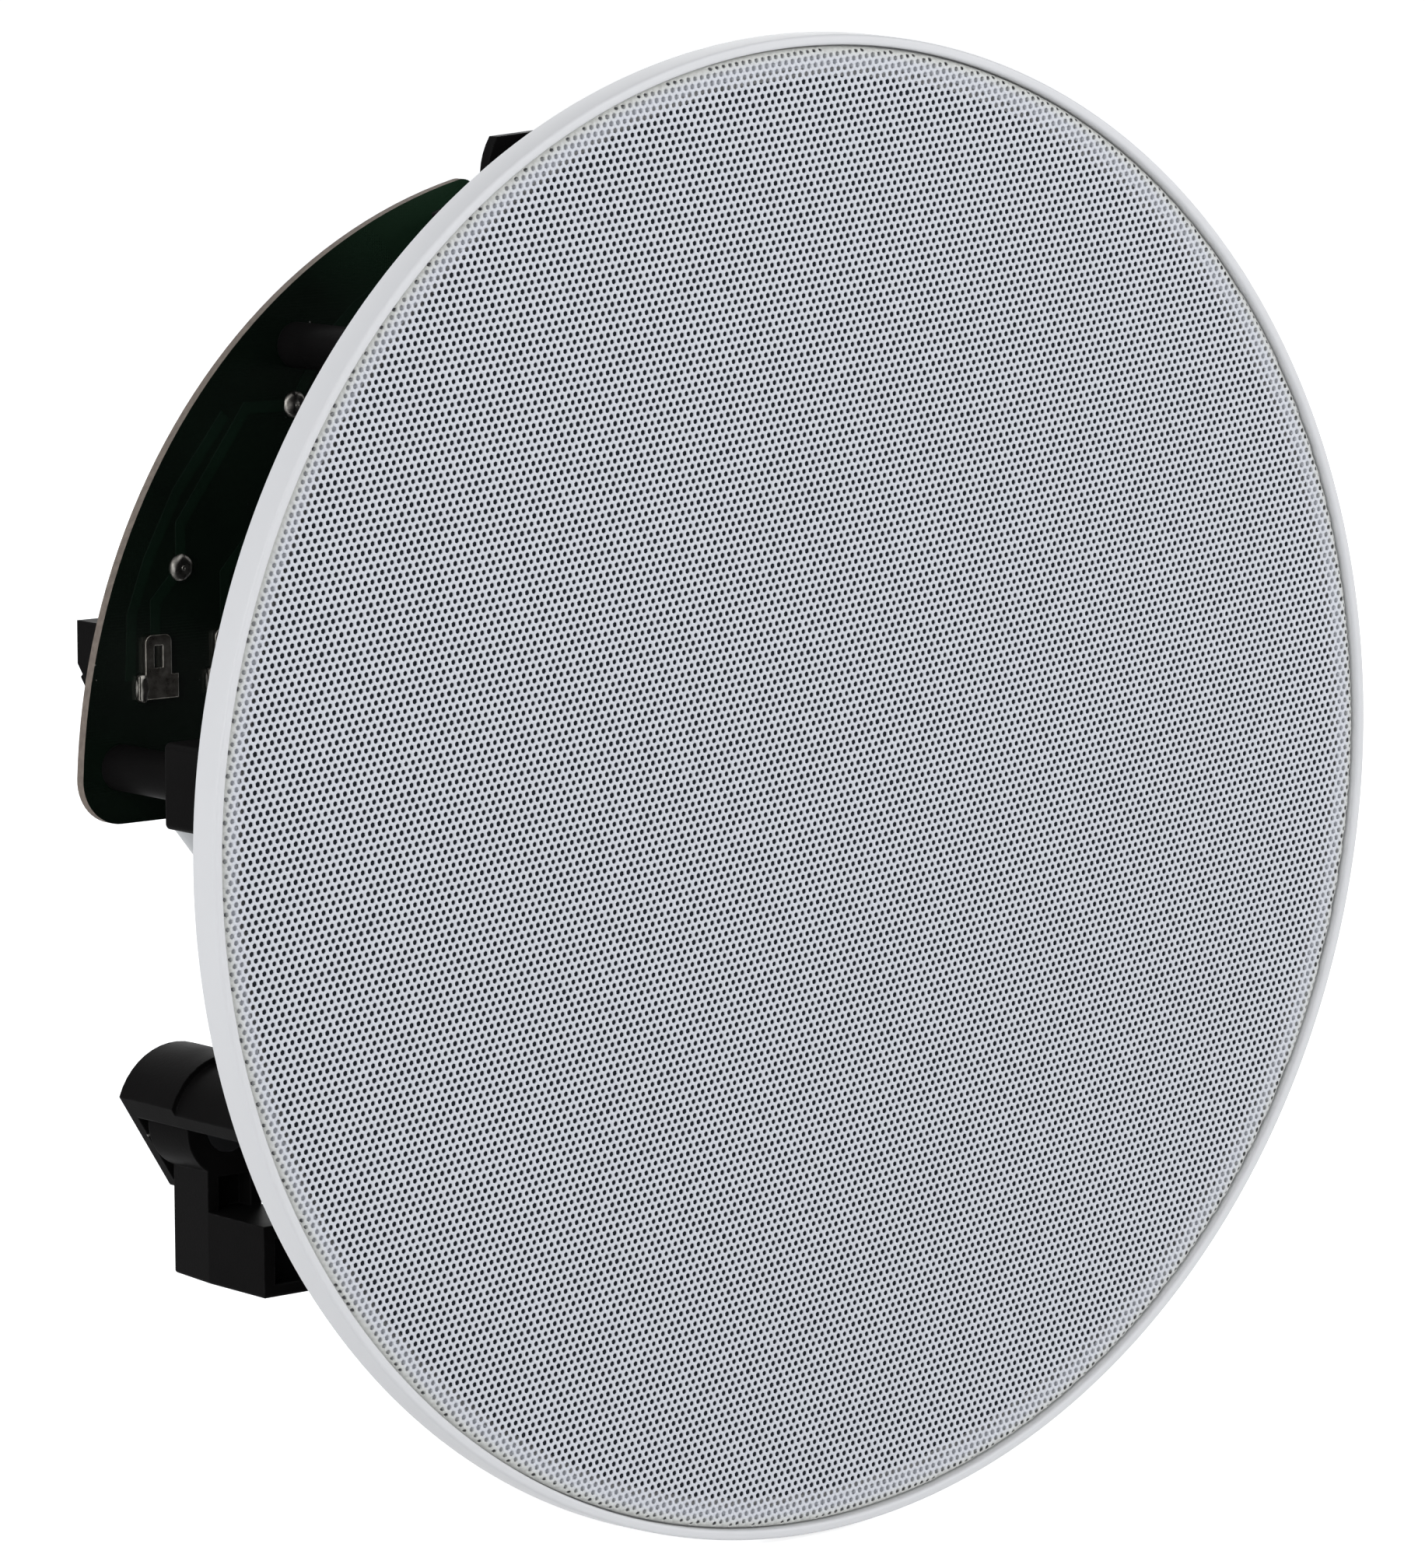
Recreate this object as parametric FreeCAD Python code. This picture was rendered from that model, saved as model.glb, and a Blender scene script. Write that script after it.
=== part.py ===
"""Round in-wall speaker: trim ring, grille, clamp chassis, woofer, tweeter and crossover board.

Millimetres. X is right and Z is up as seen from the front. Y runs into the wall, and y = 0 is the
plane where the flange lies on the wall. Angles are counter-clockwise from +X as seen from the front.
"""
import FreeCAD, Part
import math
import os

from FreeCAD import Vector

# Fits shared by the whole speaker, how far a cut runs past a face, and when two places are the same
RUNNING_GAP = 0.05
SLIP_GAP = 0.3
CUT_OVERRUN = 1.0
SAME_PLACE = 1e-6

# Trim ring
RIM_FRONT_R = 114.3
RIM_DRAFT = 0.26
RIM_DEPTH = 5.0
LIP_WIDTH = 1.5
LIP_ROUND = 0.45
LEDGE_THICKNESS = 2.2
FLANGE_OVERLAP = 10.3
RING_LAND = 6.0
REGISTER_DEPTH = 1.0

# Grille and the cloth behind it
GRILLE_RECESS = 0.7
GRILLE_THICKNESS = 0.7
GRILLE_EDGE_GAP = 0.3
GRILLE_ROLL_R = 0.95
GRILLE_FIELD_MARGIN = 6.0
GRILLE_GAP_PITCH = 18.5
GRILLE_GAP_R = 3.0
CLOTH_THICKNESS = 0.4
CLOTH_MARGIN = 4.4

# Magnets that hold the grille
GRILLE_MAGNET_COUNT = 8
GRILLE_MAGNET_R = 2.6
GRILLE_MAGNET_POCKET = 1.0
GRILLE_MAGNET_INSET = 0.8
GRILLE_MAGNET_FIRST_ANGLE = 11.0

# Chassis plate, skirt and woofer recess
PLATE_THICKNESS = 3.0
SKIRT_THICKNESS = 2.5
SKIRT_DEPTH = 7.0
RECESS_WALL = 1.5
RECESS_DEPTH = 11.0
BAFFLE_THICKNESS = 3.0
BAFFLE_LEDGE = 8.0

# Screws that hold the trim ring on the chassis
TRIM_SCREW_COUNT = 6
TRIM_SCREW_FIRST_ANGLE = 2.0
TRIM_SCREW_SHANK_R = 1.1
TRIM_SCREW_HEAD_R = 2.2
TRIM_SCREW_HEAD_HEIGHT = 1.3

# Clamp towers
CLAMP_ANGLES = (94.0, 212.3, 332.3)
CLAMP_INSET = 13.0
TOWER_INNER_R = 8.4
TOWER_FRONT_WALL = 1.7
TOWER_REAR_WALL = 2.6
TOWER_REAR_Y = 56.9
TOWER_COLLAR_LENGTH = 13.4
TOWER_END_WALL = 2.0
TOWER_FLAT = 6.8
TOWER_MOUTH_GAP = 0.4
TOWER_BOSS_R = 8.0
TOWER_BOSS_DEPTH = 6.5

# Clamp screws and nuts
CLAMP_SCREW_R = 2.0
CLAMP_HEAD_R = 4.0
CLAMP_HEAD_HEIGHT = 2.6
CLAMP_RECESS_W = 1.2
CLAMP_RECESS_LENGTH = 4.8
CLAMP_RECESS_DEPTH = 1.5
NUT_R = 4.0
NUT_FLANGE_R = 6.0
NUT_FLANGE_THICKNESS = 0.8
NUT_REAR_GAP = 0.8

# Clamp arms: length runs from the screw axis to the tip
ARM_LENGTH = 23.8
ARM_LEADING_SIDE = 4.0
ARM_TRAILING_SIDE = 6.0
ARM_DEPTH = 10.0
ARM_TAPER = 1.0
ARM_HUB_GAP = 0.8
ARM_POCKET_DEPTH = 3.0
ARM_POCKET_WALL = 2.0
TOE_HEIGHT = 11.0
TOE_DEPTH = 14.0
TOE_POCKET_WALL = 2.0
TOE_POCKET_DEPTH = 2.5
ARM_EDGE_ROUND = 0.5
ARM_FOLD_ANGLE = 105.0
ARM_SWUNG_ANGLE = 58.0

# Woofer frame
WOOFER_INSET = 12.0
BASKET_FLANGE_THICKNESS = 2.0
BASKET_WALL = 2.0
BASKET_CAN_LENGTH = 5.0
BASKET_CONE_LENGTH = 26.5
BASKET_SLOPE_WIDTH = 19.7
BASKET_LEDGE_WIDTH = 6.0
BASKET_WELL_DEPTH = 6.0
BASKET_FLOOR_GAP = 0.8
BASKET_WINDOWS = 6
BASKET_WINDOW_ANGLE = 40.0
BASKET_WINDOW_MARGIN = 3.0
GASKET_THICKNESS = 1.4
WOOFER_SCREW_COUNT = 4
WOOFER_SCREW_FIRST_ANGLE = 45.0
WOOFER_SCREW_SHANK_R = 1.2
WOOFER_SCREW_HEAD_R = 2.4
WOOFER_SCREW_HEAD_HEIGHT = 1.4

# Woofer motor
POLE_R = 15.0
POLE_VENT_R = 5.0
MAGNET_GAP = 2.2
TOP_PLATE_INSET = 3.0
TOP_PLATE_THICKNESS = 5.0
MAGNET_OVERHANG = 3.0
MAGNET_POLE_GAP = 9.0
MAGNET_LENGTH = 14.0
MAGNET_EDGE_ROUND = 1.0
BACK_PLATE_THICKNESS = 5.0

# Woofer moving parts
FORMER_WALL = 0.3
FORMER_POLE_GAP = 0.6
COIL_WALL = 0.6
COIL_LENGTH = 11.0
CONE_EDGE_LIP = 2.2
CONE_THICKNESS = 0.8
CONE_DEPTH = 19.0
DUST_CAP_R = 22.0
DUST_CAP_RISE = 6.0
DUST_CAP_THICKNESS = 0.6
SURROUND_THICKNESS = 0.6
SURROUND_LANDING = 4.0
SURROUND_ROLL_WIDTH = 8.1
SPIDER_THICKNESS = 0.5
SPIDER_WAVES = 5
SPIDER_WAVE_HEIGHT = 1.2

# Tags on the woofer frame where its leads are soldered
TAG_PLATE_WIDTH = 14.0
TAG_PLATE_THICKNESS = 2.0
TAG_WIDTH = 4.75
TAG_LENGTH = 7.0
TAG_THICKNESS = 0.8
TAG_SPACING = 8.0
TAG_ANGLE = 300.0

# Tweeter and the bridge that carries it in front of the woofer
BRIDGE_WIDTH = 14.0
BRIDGE_THICKNESS = 3.2
BRIDGE_END_GAP = 4.0
BRIDGE_END_ROUND = 4.2
BRIDGE_CUP_R = 25.0
BRIDGE_CUP_WALL = 2.5
BRIDGE_CUP_DEPTH = 12.0
BRIDGE_CUP_LIP = 4.0
BRIDGE_SCREW_INSET = 4.0
BRIDGE_SCREW_SHANK_R = 1.1
BRIDGE_SCREW_HEAD_R = 2.2
BRIDGE_SCREW_HEAD_HEIGHT = 1.2
DOME_R = 12.5
DOME_CLOTH_GAP = 0.7
DOME_THICKNESS = 0.5
FACEPLATE_THICKNESS = 3.2
WAVEGUIDE_FLARE = 5.0

# Crossover board
BOARD_INSET = 11.1
BOARD_MAGNET_GAP = 7.0
BOARD_THICKNESS = 1.6
BOARD_FRONT_Y = 57.4
BOARD_BOTTOM_Z = -3.5
BOARD_RIGHT_X = -17.4
BOARD_MIDDLE_ANGLE = 140.0
BOARD_CORNER_R = 7.0
BOARD_TIP_R = 3.0
POST_R = 3.5
POST_ANGLES = (176.6, 128.2)
POST_INSETS = (6.8, 7.9)
POST_PILOT_DEPTH = 10.0
BOSS_SIDE = 13.0
BOSS_REAR_Y = 37.0
BOSS_ROUND = 1.0
BOARD_SCREW_SHANK_R = 1.3
BOARD_SCREW_HEAD_R = 2.8
BOARD_SCREW_HEAD_HEIGHT = 1.8
BOARD_SCREW_LENGTH = 8.0

# Push terminal block, a wedge whose slanted face holds the buttons and the wire holes
BLOCK_FROM_LEFT = 9.9
BLOCK_WIDTH = 18.0
BLOCK_TOP_Z = 25.7
BLOCK_BOTTOM_Z = 6.5
BLOCK_DEPTH = 13.5
BLOCK_REAR_HEIGHT = 6.6
BLOCK_FOOT_DEPTH = 3.0
BLOCK_WAY_PITCH = 9.4
BUTTON_WIDTH = 6.4
BUTTON_LENGTH = 6.0
BUTTON_PROUD = 2.4
BUTTON_INSIDE = 3.0
BUTTON_TRAVEL = 1.8
BUTTON_FROM_EDGE = 1.2
BUTTON_ROUND = 0.6
WIRE_HOLE_R = 1.6
WIRE_HOLE_DEPTH = 4.5
WIRE_HOLE_FROM_EDGE = 2.6

# Spade tabs of the terminal block, bent flat on the front of the board
SPADE_WIDTH = 4.75
SPADE_THICKNESS = 0.8
SPADE_BOTTOM_Z = 15.0
SPADE_TOP_Z = 24.7
SPADE_FOOT_WIDTH = 7.3
SPADE_FOOT_HEIGHT = 3.6
SPADE_SLOT_LENGTH = 3.4
SPADE_SLOT_WIDTH = 1.6
SPADE_FROM_LEFT = 13.6
SPADE_PITCH = 13.0

# Parts on the rear of the board, placed from its left edge and by height
FILM_CAP_R = 7.0
FILM_CAP_LENGTH = 20.0
FILM_CAP_FROM_LEFT = 32.9
FILM_CAP_Z = -7.0
FILM_CAP_ANGLE = -50.8
SMALL_CAP_R = 5.0
SMALL_CAP_LENGTH = 20.0
SMALL_CAP_FROM_LEFT = 58.4
SMALL_CAP_Z = 71.0
SMALL_CAP_ANGLE = 27.0
CAP_EDGE_ROUND = 1.0
INDUCTOR_FROM_LEFT = 41.1
INDUCTOR_Z = 50.0
BOBBIN_FLANGE_R = 12.5
BOBBIN_HUB_R = 6.0
BOBBIN_FLANGE_THICKNESS = 1.5
BOBBIN_HEIGHT = 14.0
BOBBIN_BORE_R = 4.0
WINDING_INSET = 0.9
RESISTOR_FROM_LEFT = 20.9
RESISTOR_Z = 40.0
RESISTOR_LENGTH = 20.0
RESISTOR_SIDE = 7.0
RESISTOR_ANGLE = 61.0
RESISTOR_EDGE_ROUND = 0.6

# Radii and planes worked out from the sizes above
FRONT_Y = -RIM_DEPTH
RIM_REAR_R = RIM_FRONT_R + RIM_DRAFT
LIP_INNER_R = RIM_FRONT_R - LIP_WIDTH
SPIGOT_R = RIM_FRONT_R - FLANGE_OVERLAP
RING_INNER_R = SPIGOT_R - RING_LAND
SCREW_CIRCLE_R = SPIGOT_R - CLAMP_INSET
BASKET_FLANGE_R = SCREW_CIRCLE_R - WOOFER_INSET
BAFFLE_OPENING_R = BASKET_FLANGE_R - BAFFLE_LEDGE
LEDGE_Y = -LEDGE_THICKNESS
GRILLE_R = LIP_INNER_R - GRILLE_EDGE_GAP
GRILLE_FRONT_Y = FRONT_Y + GRILLE_RECESS
GRILLE_BACK_Y = GRILLE_FRONT_Y + GRILLE_THICKNESS
CLOTH_R = GRILLE_R - CLOTH_MARGIN
CLOTH_BACK_Y = GRILLE_BACK_Y + CLOTH_THICKNESS
PLATE_FRONT_Y = REGISTER_DEPTH
PLATE_REAR_Y = PLATE_FRONT_Y + PLATE_THICKNESS
BAFFLE_FRONT_Y = PLATE_FRONT_Y + RECESS_DEPTH
BAFFLE_REAR_Y = BAFFLE_FRONT_Y + BAFFLE_THICKNESS
RECESS_R = BASKET_FLANGE_R + SLIP_GAP
BASKET_FRONT_Y = BAFFLE_FRONT_Y - BASKET_FLANGE_THICKNESS
BASKET_CAN_R = BAFFLE_OPENING_R - SLIP_GAP
BASKET_LEDGE_R = BASKET_CAN_R - BASKET_SLOPE_WIDTH
BASKET_WELL_R = BASKET_LEDGE_R - BASKET_LEDGE_WIDTH
SURROUND_ROLL_R = BASKET_CAN_R - BASKET_WALL
CONE_EDGE_R = SURROUND_ROLL_R - SURROUND_ROLL_WIDTH
TOP_PLATE_R = BASKET_WELL_R - TOP_PLATE_INSET
MAGNET_R = TOP_PLATE_R + MAGNET_OVERHANG
BASKET_CONE_Y = BAFFLE_FRONT_Y + BASKET_CAN_LENGTH
BASKET_LEDGE_Y = BASKET_CONE_Y + BASKET_CONE_LENGTH
BASKET_FLOOR_Y = BASKET_LEDGE_Y + BASKET_WELL_DEPTH
BASKET_REAR_Y = BASKET_FLOOR_Y + BASKET_WALL
TOP_PLATE_REAR_Y = BASKET_REAR_Y + TOP_PLATE_THICKNESS
MAGNET_REAR_Y = TOP_PLATE_REAR_Y + MAGNET_LENGTH
BACK_PLATE_REAR_Y = MAGNET_REAR_Y + BACK_PLATE_THICKNESS
FORMER_INNER_R = POLE_R + FORMER_POLE_GAP
FORMER_OUTER_R = FORMER_INNER_R + FORMER_WALL
CONE_EDGE_Y = BASKET_FRONT_Y
CONE_NECK_Y = CONE_EDGE_Y + CONE_DEPTH
ARM_HUB_R = TOWER_INNER_R - ARM_HUB_GAP
ARM_REAR_Y = TOWER_REAR_Y - TOWER_END_WALL - NUT_REAR_GAP - NUT_FLANGE_THICKNESS
ARM_FRONT_Y = ARM_REAR_Y - ARM_DEPTH
TOE_FRONT_Y = ARM_FRONT_Y - TOE_DEPTH
BOARD_R = SPIGOT_R - BOARD_INSET
BOARD_INNER_R = MAGNET_R + BOARD_MAGNET_GAP
BOARD_REAR_Y = BOARD_FRONT_Y + BOARD_THICKNESS
Y_AXIS = Vector(0, 1, 0)
FRONT_AXIS = Vector(0, -1, 0)
ORIGIN = Vector(0, 0, 0)


def turned(points, angle=360.0):
    """Solid turned about the Y axis from (radius, y) corners, starting at +X."""
    corners = [Vector(r, y, 0) for r, y in points]
    face = Part.Face(Part.makePolygon(corners + corners[:1]))
    return face.revolve(ORIGIN, FRONT_AXIS, angle)


def rod(radius, y0, y1, x=0.0, z=0.0):
    """Cylinder along Y."""
    return Part.makeCylinder(radius, y1 - y0, Vector(x, y0, z), Y_AXIS)


def drill(radius, y0, y1, x=0.0, z=0.0):
    """Cutter along Y that runs past both faces."""
    return rod(radius, y0 - CUT_OVERRUN, y1 + CUT_OVERRUN, x, z)


def box(x0, x1, y0, y1, z0, z1):
    """Box between two corners."""
    return Part.makeBox(x1 - x0, y1 - y0, z1 - z0, Vector(x0, y0, z0))


def at_angle(shape, angle):
    """Copy turned about the Y axis, counter-clockwise as seen from the front."""
    copy = shape.copy()
    copy.rotate(ORIGIN, FRONT_AXIS, angle)
    return copy


def around(shape, count, first_angle):
    """Copies spaced evenly about the Y axis."""
    return [at_angle(shape, first_angle + 360.0 * i / count) for i in range(count)]


def rounded(shape, radius, wanted):
    """Shape with the edges that pass the test rounded."""
    return shape.makeFillet(radius, [edge for edge in shape.Edges if wanted(edge)])


def flat_at(edge, y):
    """True for an edge that lies in the plane at this depth."""
    return all(abs(v.Point.y - y) < SAME_PLACE for v in edge.Vertexes)


def along_depth(edge):
    """True for a straight edge parallel to Y."""
    if not isinstance(edge.Curve, Part.Line):
        return False
    a, b = (v.Point for v in edge.Vertexes)
    return abs(a.x - b.x) < SAME_PLACE and abs(a.z - b.z) < SAME_PLACE


def pan_screw(x, z, head_y, head_height, head_r, shank_r, tip_y):
    """Screw driven towards +Y whose head stands in front of head_y."""
    head = rod(head_r, head_y - head_height, head_y, x, z)
    shank = rod(shank_r, head_y, tip_y, x, z)
    return head.fuse(shank).removeSplitter()


def polar(radius, angle):
    """X and Z of a point on a circle about the Y axis."""
    return radius * math.cos(math.radians(angle)), radius * math.sin(math.radians(angle))


def trim_screw_places():
    circle_r = (RING_INNER_R + SPIGOT_R) / 2
    return [polar(circle_r, TRIM_SCREW_FIRST_ANGLE + 360.0 * i / TRIM_SCREW_COUNT)
            for i in range(TRIM_SCREW_COUNT)]


def make_trim_ring():
    ring = turned([
        (RIM_REAR_R, 0), (RIM_FRONT_R, FRONT_Y), (LIP_INNER_R, FRONT_Y), (LIP_INNER_R, LEDGE_Y),
        (RING_INNER_R, LEDGE_Y), (RING_INNER_R, REGISTER_DEPTH), (SPIGOT_R, REGISTER_DEPTH), (SPIGOT_R, 0)])
    ring = rounded(ring, LIP_ROUND, lambda edge: flat_at(edge, FRONT_Y) and len(edge.Vertexes) == 1)
    pocket = rod(GRILLE_MAGNET_R + RUNNING_GAP, LEDGE_Y - CUT_OVERRUN, LEDGE_Y + GRILLE_MAGNET_POCKET,
                 magnet_circle_r())
    cuts = around(pocket, GRILLE_MAGNET_COUNT, GRILLE_MAGNET_FIRST_ANGLE)
    for x, z in trim_screw_places():
        cuts.append(rod(TRIM_SCREW_HEAD_R + SLIP_GAP, LEDGE_Y - CUT_OVERRUN, trim_head_seat_y(), x, z))
        cuts.append(rod(TRIM_SCREW_SHANK_R + SLIP_GAP, LEDGE_Y, REGISTER_DEPTH + CUT_OVERRUN, x, z))
    return ring.cut(cuts)


def trim_head_seat_y():
    return LEDGE_Y + TRIM_SCREW_HEAD_HEIGHT + SLIP_GAP


def magnet_circle_r():
    return CLOTH_R - GRILLE_MAGNET_INSET - GRILLE_MAGNET_R


def make_grille():
    """Pressed sheet with a rolled edge that stands on the ring's ledge."""
    inner_r = GRILLE_R - GRILLE_THICKNESS
    inner_roll = GRILLE_ROLL_R - GRILLE_THICKNESS
    roll_centre_r = GRILLE_R - GRILLE_ROLL_R
    roll_centre_y = GRILLE_FRONT_Y + GRILLE_ROLL_R
    diagonal = math.sqrt(0.5)

    def roll_arc(radius, first, last):
        middle = Vector(roll_centre_r + radius * diagonal, roll_centre_y - radius * diagonal, 0)
        return Part.Arc(first, middle, last).toShape()

    outer_flat = Vector(roll_centre_r, GRILLE_FRONT_Y, 0)
    outer_side = Vector(GRILLE_R, roll_centre_y, 0)
    inner_side = Vector(inner_r, roll_centre_y, 0)
    inner_flat = Vector(roll_centre_r, GRILLE_BACK_Y, 0)
    front_centre = Vector(0, GRILLE_FRONT_Y, 0)
    back_centre = Vector(0, GRILLE_BACK_Y, 0)
    edges = [
        Part.makeLine(front_centre, outer_flat),
        roll_arc(GRILLE_ROLL_R, outer_flat, outer_side),
        Part.makeLine(outer_side, Vector(GRILLE_R, LEDGE_Y, 0)),
        Part.makeLine(Vector(GRILLE_R, LEDGE_Y, 0), Vector(inner_r, LEDGE_Y, 0)),
        Part.makeLine(Vector(inner_r, LEDGE_Y, 0), inner_side),
        roll_arc(inner_roll, inner_side, inner_flat),
        Part.makeLine(inner_flat, back_centre),
        Part.makeLine(back_centre, front_centre)]
    sheet = Part.Face(Part.Wire(edges)).revolve(ORIGIN, FRONT_AXIS, 360)
    return sheet.cut(grille_gaps())


def grille_gaps():
    """Hexagonal field of through holes that stands for the fine perforation."""
    field_r = GRILLE_R - GRILLE_ROLL_R - GRILLE_FIELD_MARGIN
    row_height = GRILLE_GAP_PITCH * math.sin(math.radians(60))
    rows = int(field_r / row_height)
    columns = int(field_r / GRILLE_GAP_PITCH) + 1
    gaps = []
    for row in range(-rows, rows + 1):
        shift = 0.5 * (row % 2)
        for column in range(-columns, columns + 1):
            x = (column + shift) * GRILLE_GAP_PITCH
            z = row * row_height
            if math.hypot(x, z) + GRILLE_GAP_R < field_r:
                gaps.append(drill(GRILLE_GAP_R, GRILLE_FRONT_Y, GRILLE_BACK_Y, x, z))
    return gaps


def make_scrim_cloth():
    return rod(CLOTH_R, GRILLE_BACK_Y, CLOTH_BACK_Y)


def make_grille_magnets():
    disc = rod(GRILLE_MAGNET_R, CLOTH_BACK_Y, LEDGE_Y + GRILLE_MAGNET_POCKET, magnet_circle_r())
    return Part.makeCompound(around(disc, GRILLE_MAGNET_COUNT, GRILLE_MAGNET_FIRST_ANGLE))


def make_trim_screws():
    screws = [pan_screw(x, z, trim_head_seat_y(), TRIM_SCREW_HEAD_HEIGHT, TRIM_SCREW_HEAD_R,
                        TRIM_SCREW_SHANK_R, PLATE_REAR_Y) for x, z in trim_screw_places()]
    return Part.makeCompound(screws)


def tower_shell(outer_r, y0, y1):
    """Half-round wall round the clamp screw, open outwards and on the side where the arm folds."""
    tube = rod(outer_r, y0, y1).cut(rod(TOWER_INNER_R, y0, y1))
    reach = 2 * outer_r
    leading = math.degrees(math.asin((ARM_LEADING_SIDE + TOWER_MOUTH_GAP) / TOWER_INNER_R))
    trailing = math.degrees(math.asin((ARM_TRAILING_SIDE + TOWER_MOUTH_GAP) / TOWER_INNER_R))
    corners = [(0, 0), polar(reach, -leading), (reach, reach), (-reach, reach),
               polar(reach, ARM_FOLD_ANGLE + trailing), (0, 0)]
    mouth = Part.Face(Part.makePolygon([Vector(x, y0, z) for x, z in corners]))
    return tube.cut(mouth.extrude(Vector(0, y1 - y0, 0)))


def make_tower():
    """One clamp tower about the screw axis, with outwards along +X."""
    front_r = TOWER_INNER_R + TOWER_FRONT_WALL
    rear_r = TOWER_INNER_R + TOWER_REAR_WALL
    collar_y = TOWER_REAR_Y - TOWER_COLLAR_LENGTH
    end_wall_y = TOWER_REAR_Y - TOWER_END_WALL
    tower = tower_shell(front_r, PLATE_FRONT_Y, collar_y)
    tower = tower.fuse([
        tower_shell(rear_r, collar_y, TOWER_REAR_Y),
        rod(rear_r, end_wall_y, TOWER_REAR_Y),
        rod(TOWER_BOSS_R, PLATE_FRONT_Y, PLATE_FRONT_Y + TOWER_BOSS_DEPTH)])
    outside = box(TOWER_FLAT, 3 * rear_r, PLATE_REAR_Y, TOWER_REAR_Y + CUT_OVERRUN, -2 * rear_r, 2 * rear_r)
    return tower.cut(outside).removeSplitter()


def make_chassis():
    recess_outer_r = RECESS_R + RECESS_WALL
    chassis = turned([
        (SPIGOT_R, PLATE_FRONT_Y), (SPIGOT_R, SKIRT_DEPTH), (SPIGOT_R - SKIRT_THICKNESS, SKIRT_DEPTH),
        (SPIGOT_R - SKIRT_THICKNESS, PLATE_REAR_Y), (recess_outer_r, PLATE_REAR_Y),
        (recess_outer_r, BAFFLE_REAR_Y), (BAFFLE_OPENING_R, BAFFLE_REAR_Y),
        (BAFFLE_OPENING_R, BAFFLE_FRONT_Y), (RECESS_R, BAFFLE_FRONT_Y), (RECESS_R, PLATE_FRONT_Y)])
    tower = make_tower()
    tower.translate(Vector(SCREW_CIRCLE_R, 0, 0))
    chassis = chassis.fuse([at_angle(tower, angle) for angle in CLAMP_ANGLES] + board_supports())
    recess = rod(RECESS_R, PLATE_FRONT_Y - CUT_OVERRUN, BAFFLE_FRONT_Y)
    opening = rod(BAFFLE_OPENING_R, BAFFLE_FRONT_Y, TOWER_REAR_Y)
    hole = drill(CLAMP_SCREW_R + RUNNING_GAP, PLATE_FRONT_Y, TOWER_REAR_Y, SCREW_CIRCLE_R)
    head_room = rod(CLAMP_HEAD_R + SLIP_GAP, PLATE_FRONT_Y - CUT_OVERRUN, PLATE_FRONT_Y + CLAMP_HEAD_HEIGHT,
                    SCREW_CIRCLE_R)
    cuts = [recess, opening]
    for angle in CLAMP_ANGLES:
        cuts.append(at_angle(hole, angle))
        cuts.append(at_angle(head_room, angle))
    for x, z in trim_screw_places():
        cuts.append(drill(TRIM_SCREW_SHANK_R + RUNNING_GAP, PLATE_FRONT_Y, PLATE_REAR_Y, x, z))
    for x, z in woofer_screw_places():
        cuts.append(drill(WOOFER_SCREW_SHANK_R + RUNNING_GAP, BAFFLE_FRONT_Y, BAFFLE_REAR_Y, x, z))
    for x, z in bridge_screw_places():
        cuts.append(drill(BRIDGE_SCREW_SHANK_R + RUNNING_GAP, PLATE_FRONT_Y, PLATE_REAR_Y, x, z))
    for x, z in post_places():
        cuts.append(rod(BOARD_SCREW_SHANK_R + RUNNING_GAP, BOARD_FRONT_Y - POST_PILOT_DEPTH,
                        BOARD_FRONT_Y + CUT_OVERRUN, x, z))
    return chassis.cut(cuts).removeSplitter()


def post_places():
    return [polar(BOARD_R - inset, angle) for inset, angle in zip(POST_INSETS, POST_ANGLES)]


def board_supports():
    """The two round posts, and the square boss under the lower one."""
    posts = [rod(POST_R, PLATE_FRONT_Y, BOARD_FRONT_Y, x, z) for x, z in post_places()]
    x, z = post_places()[0]
    half = BOSS_SIDE / 2
    boss = box(x - half, x + half, PLATE_FRONT_Y, BOSS_REAR_Y, z - half, z + half)
    boss = rounded(boss, BOSS_ROUND, along_depth)
    return posts + [boss]


def make_clamp_screw():
    """Screw about its own axis with a cross recess in the head."""
    head_seat_y = PLATE_FRONT_Y + CLAMP_HEAD_HEIGHT
    screw = pan_screw(0, 0, head_seat_y, CLAMP_HEAD_HEIGHT, CLAMP_HEAD_R, CLAMP_SCREW_R, TOWER_REAR_Y)
    half = CLAMP_RECESS_W / 2
    reach = CLAMP_RECESS_LENGTH / 2
    slot_y = PLATE_FRONT_Y + CLAMP_RECESS_DEPTH
    cross = box(-reach, reach, PLATE_FRONT_Y - CUT_OVERRUN, slot_y, -half, half)
    cross = cross.fuse(box(-half, half, PLATE_FRONT_Y - CUT_OVERRUN, slot_y, -reach, reach))
    return screw.cut(cross)


def make_clamp_nut():
    """Flanged threaded bush that pulls the arm forward."""
    body = rod(NUT_R, ARM_FRONT_Y, ARM_REAR_Y)
    flange = rod(NUT_FLANGE_R, ARM_REAR_Y, ARM_REAR_Y + NUT_FLANGE_THICKNESS)
    bore = rod(CLAMP_SCREW_R + RUNNING_GAP, ARM_FRONT_Y - CUT_OVERRUN, TOWER_REAR_Y)
    return body.fuse(flange).removeSplitter().cut(bore)


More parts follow.
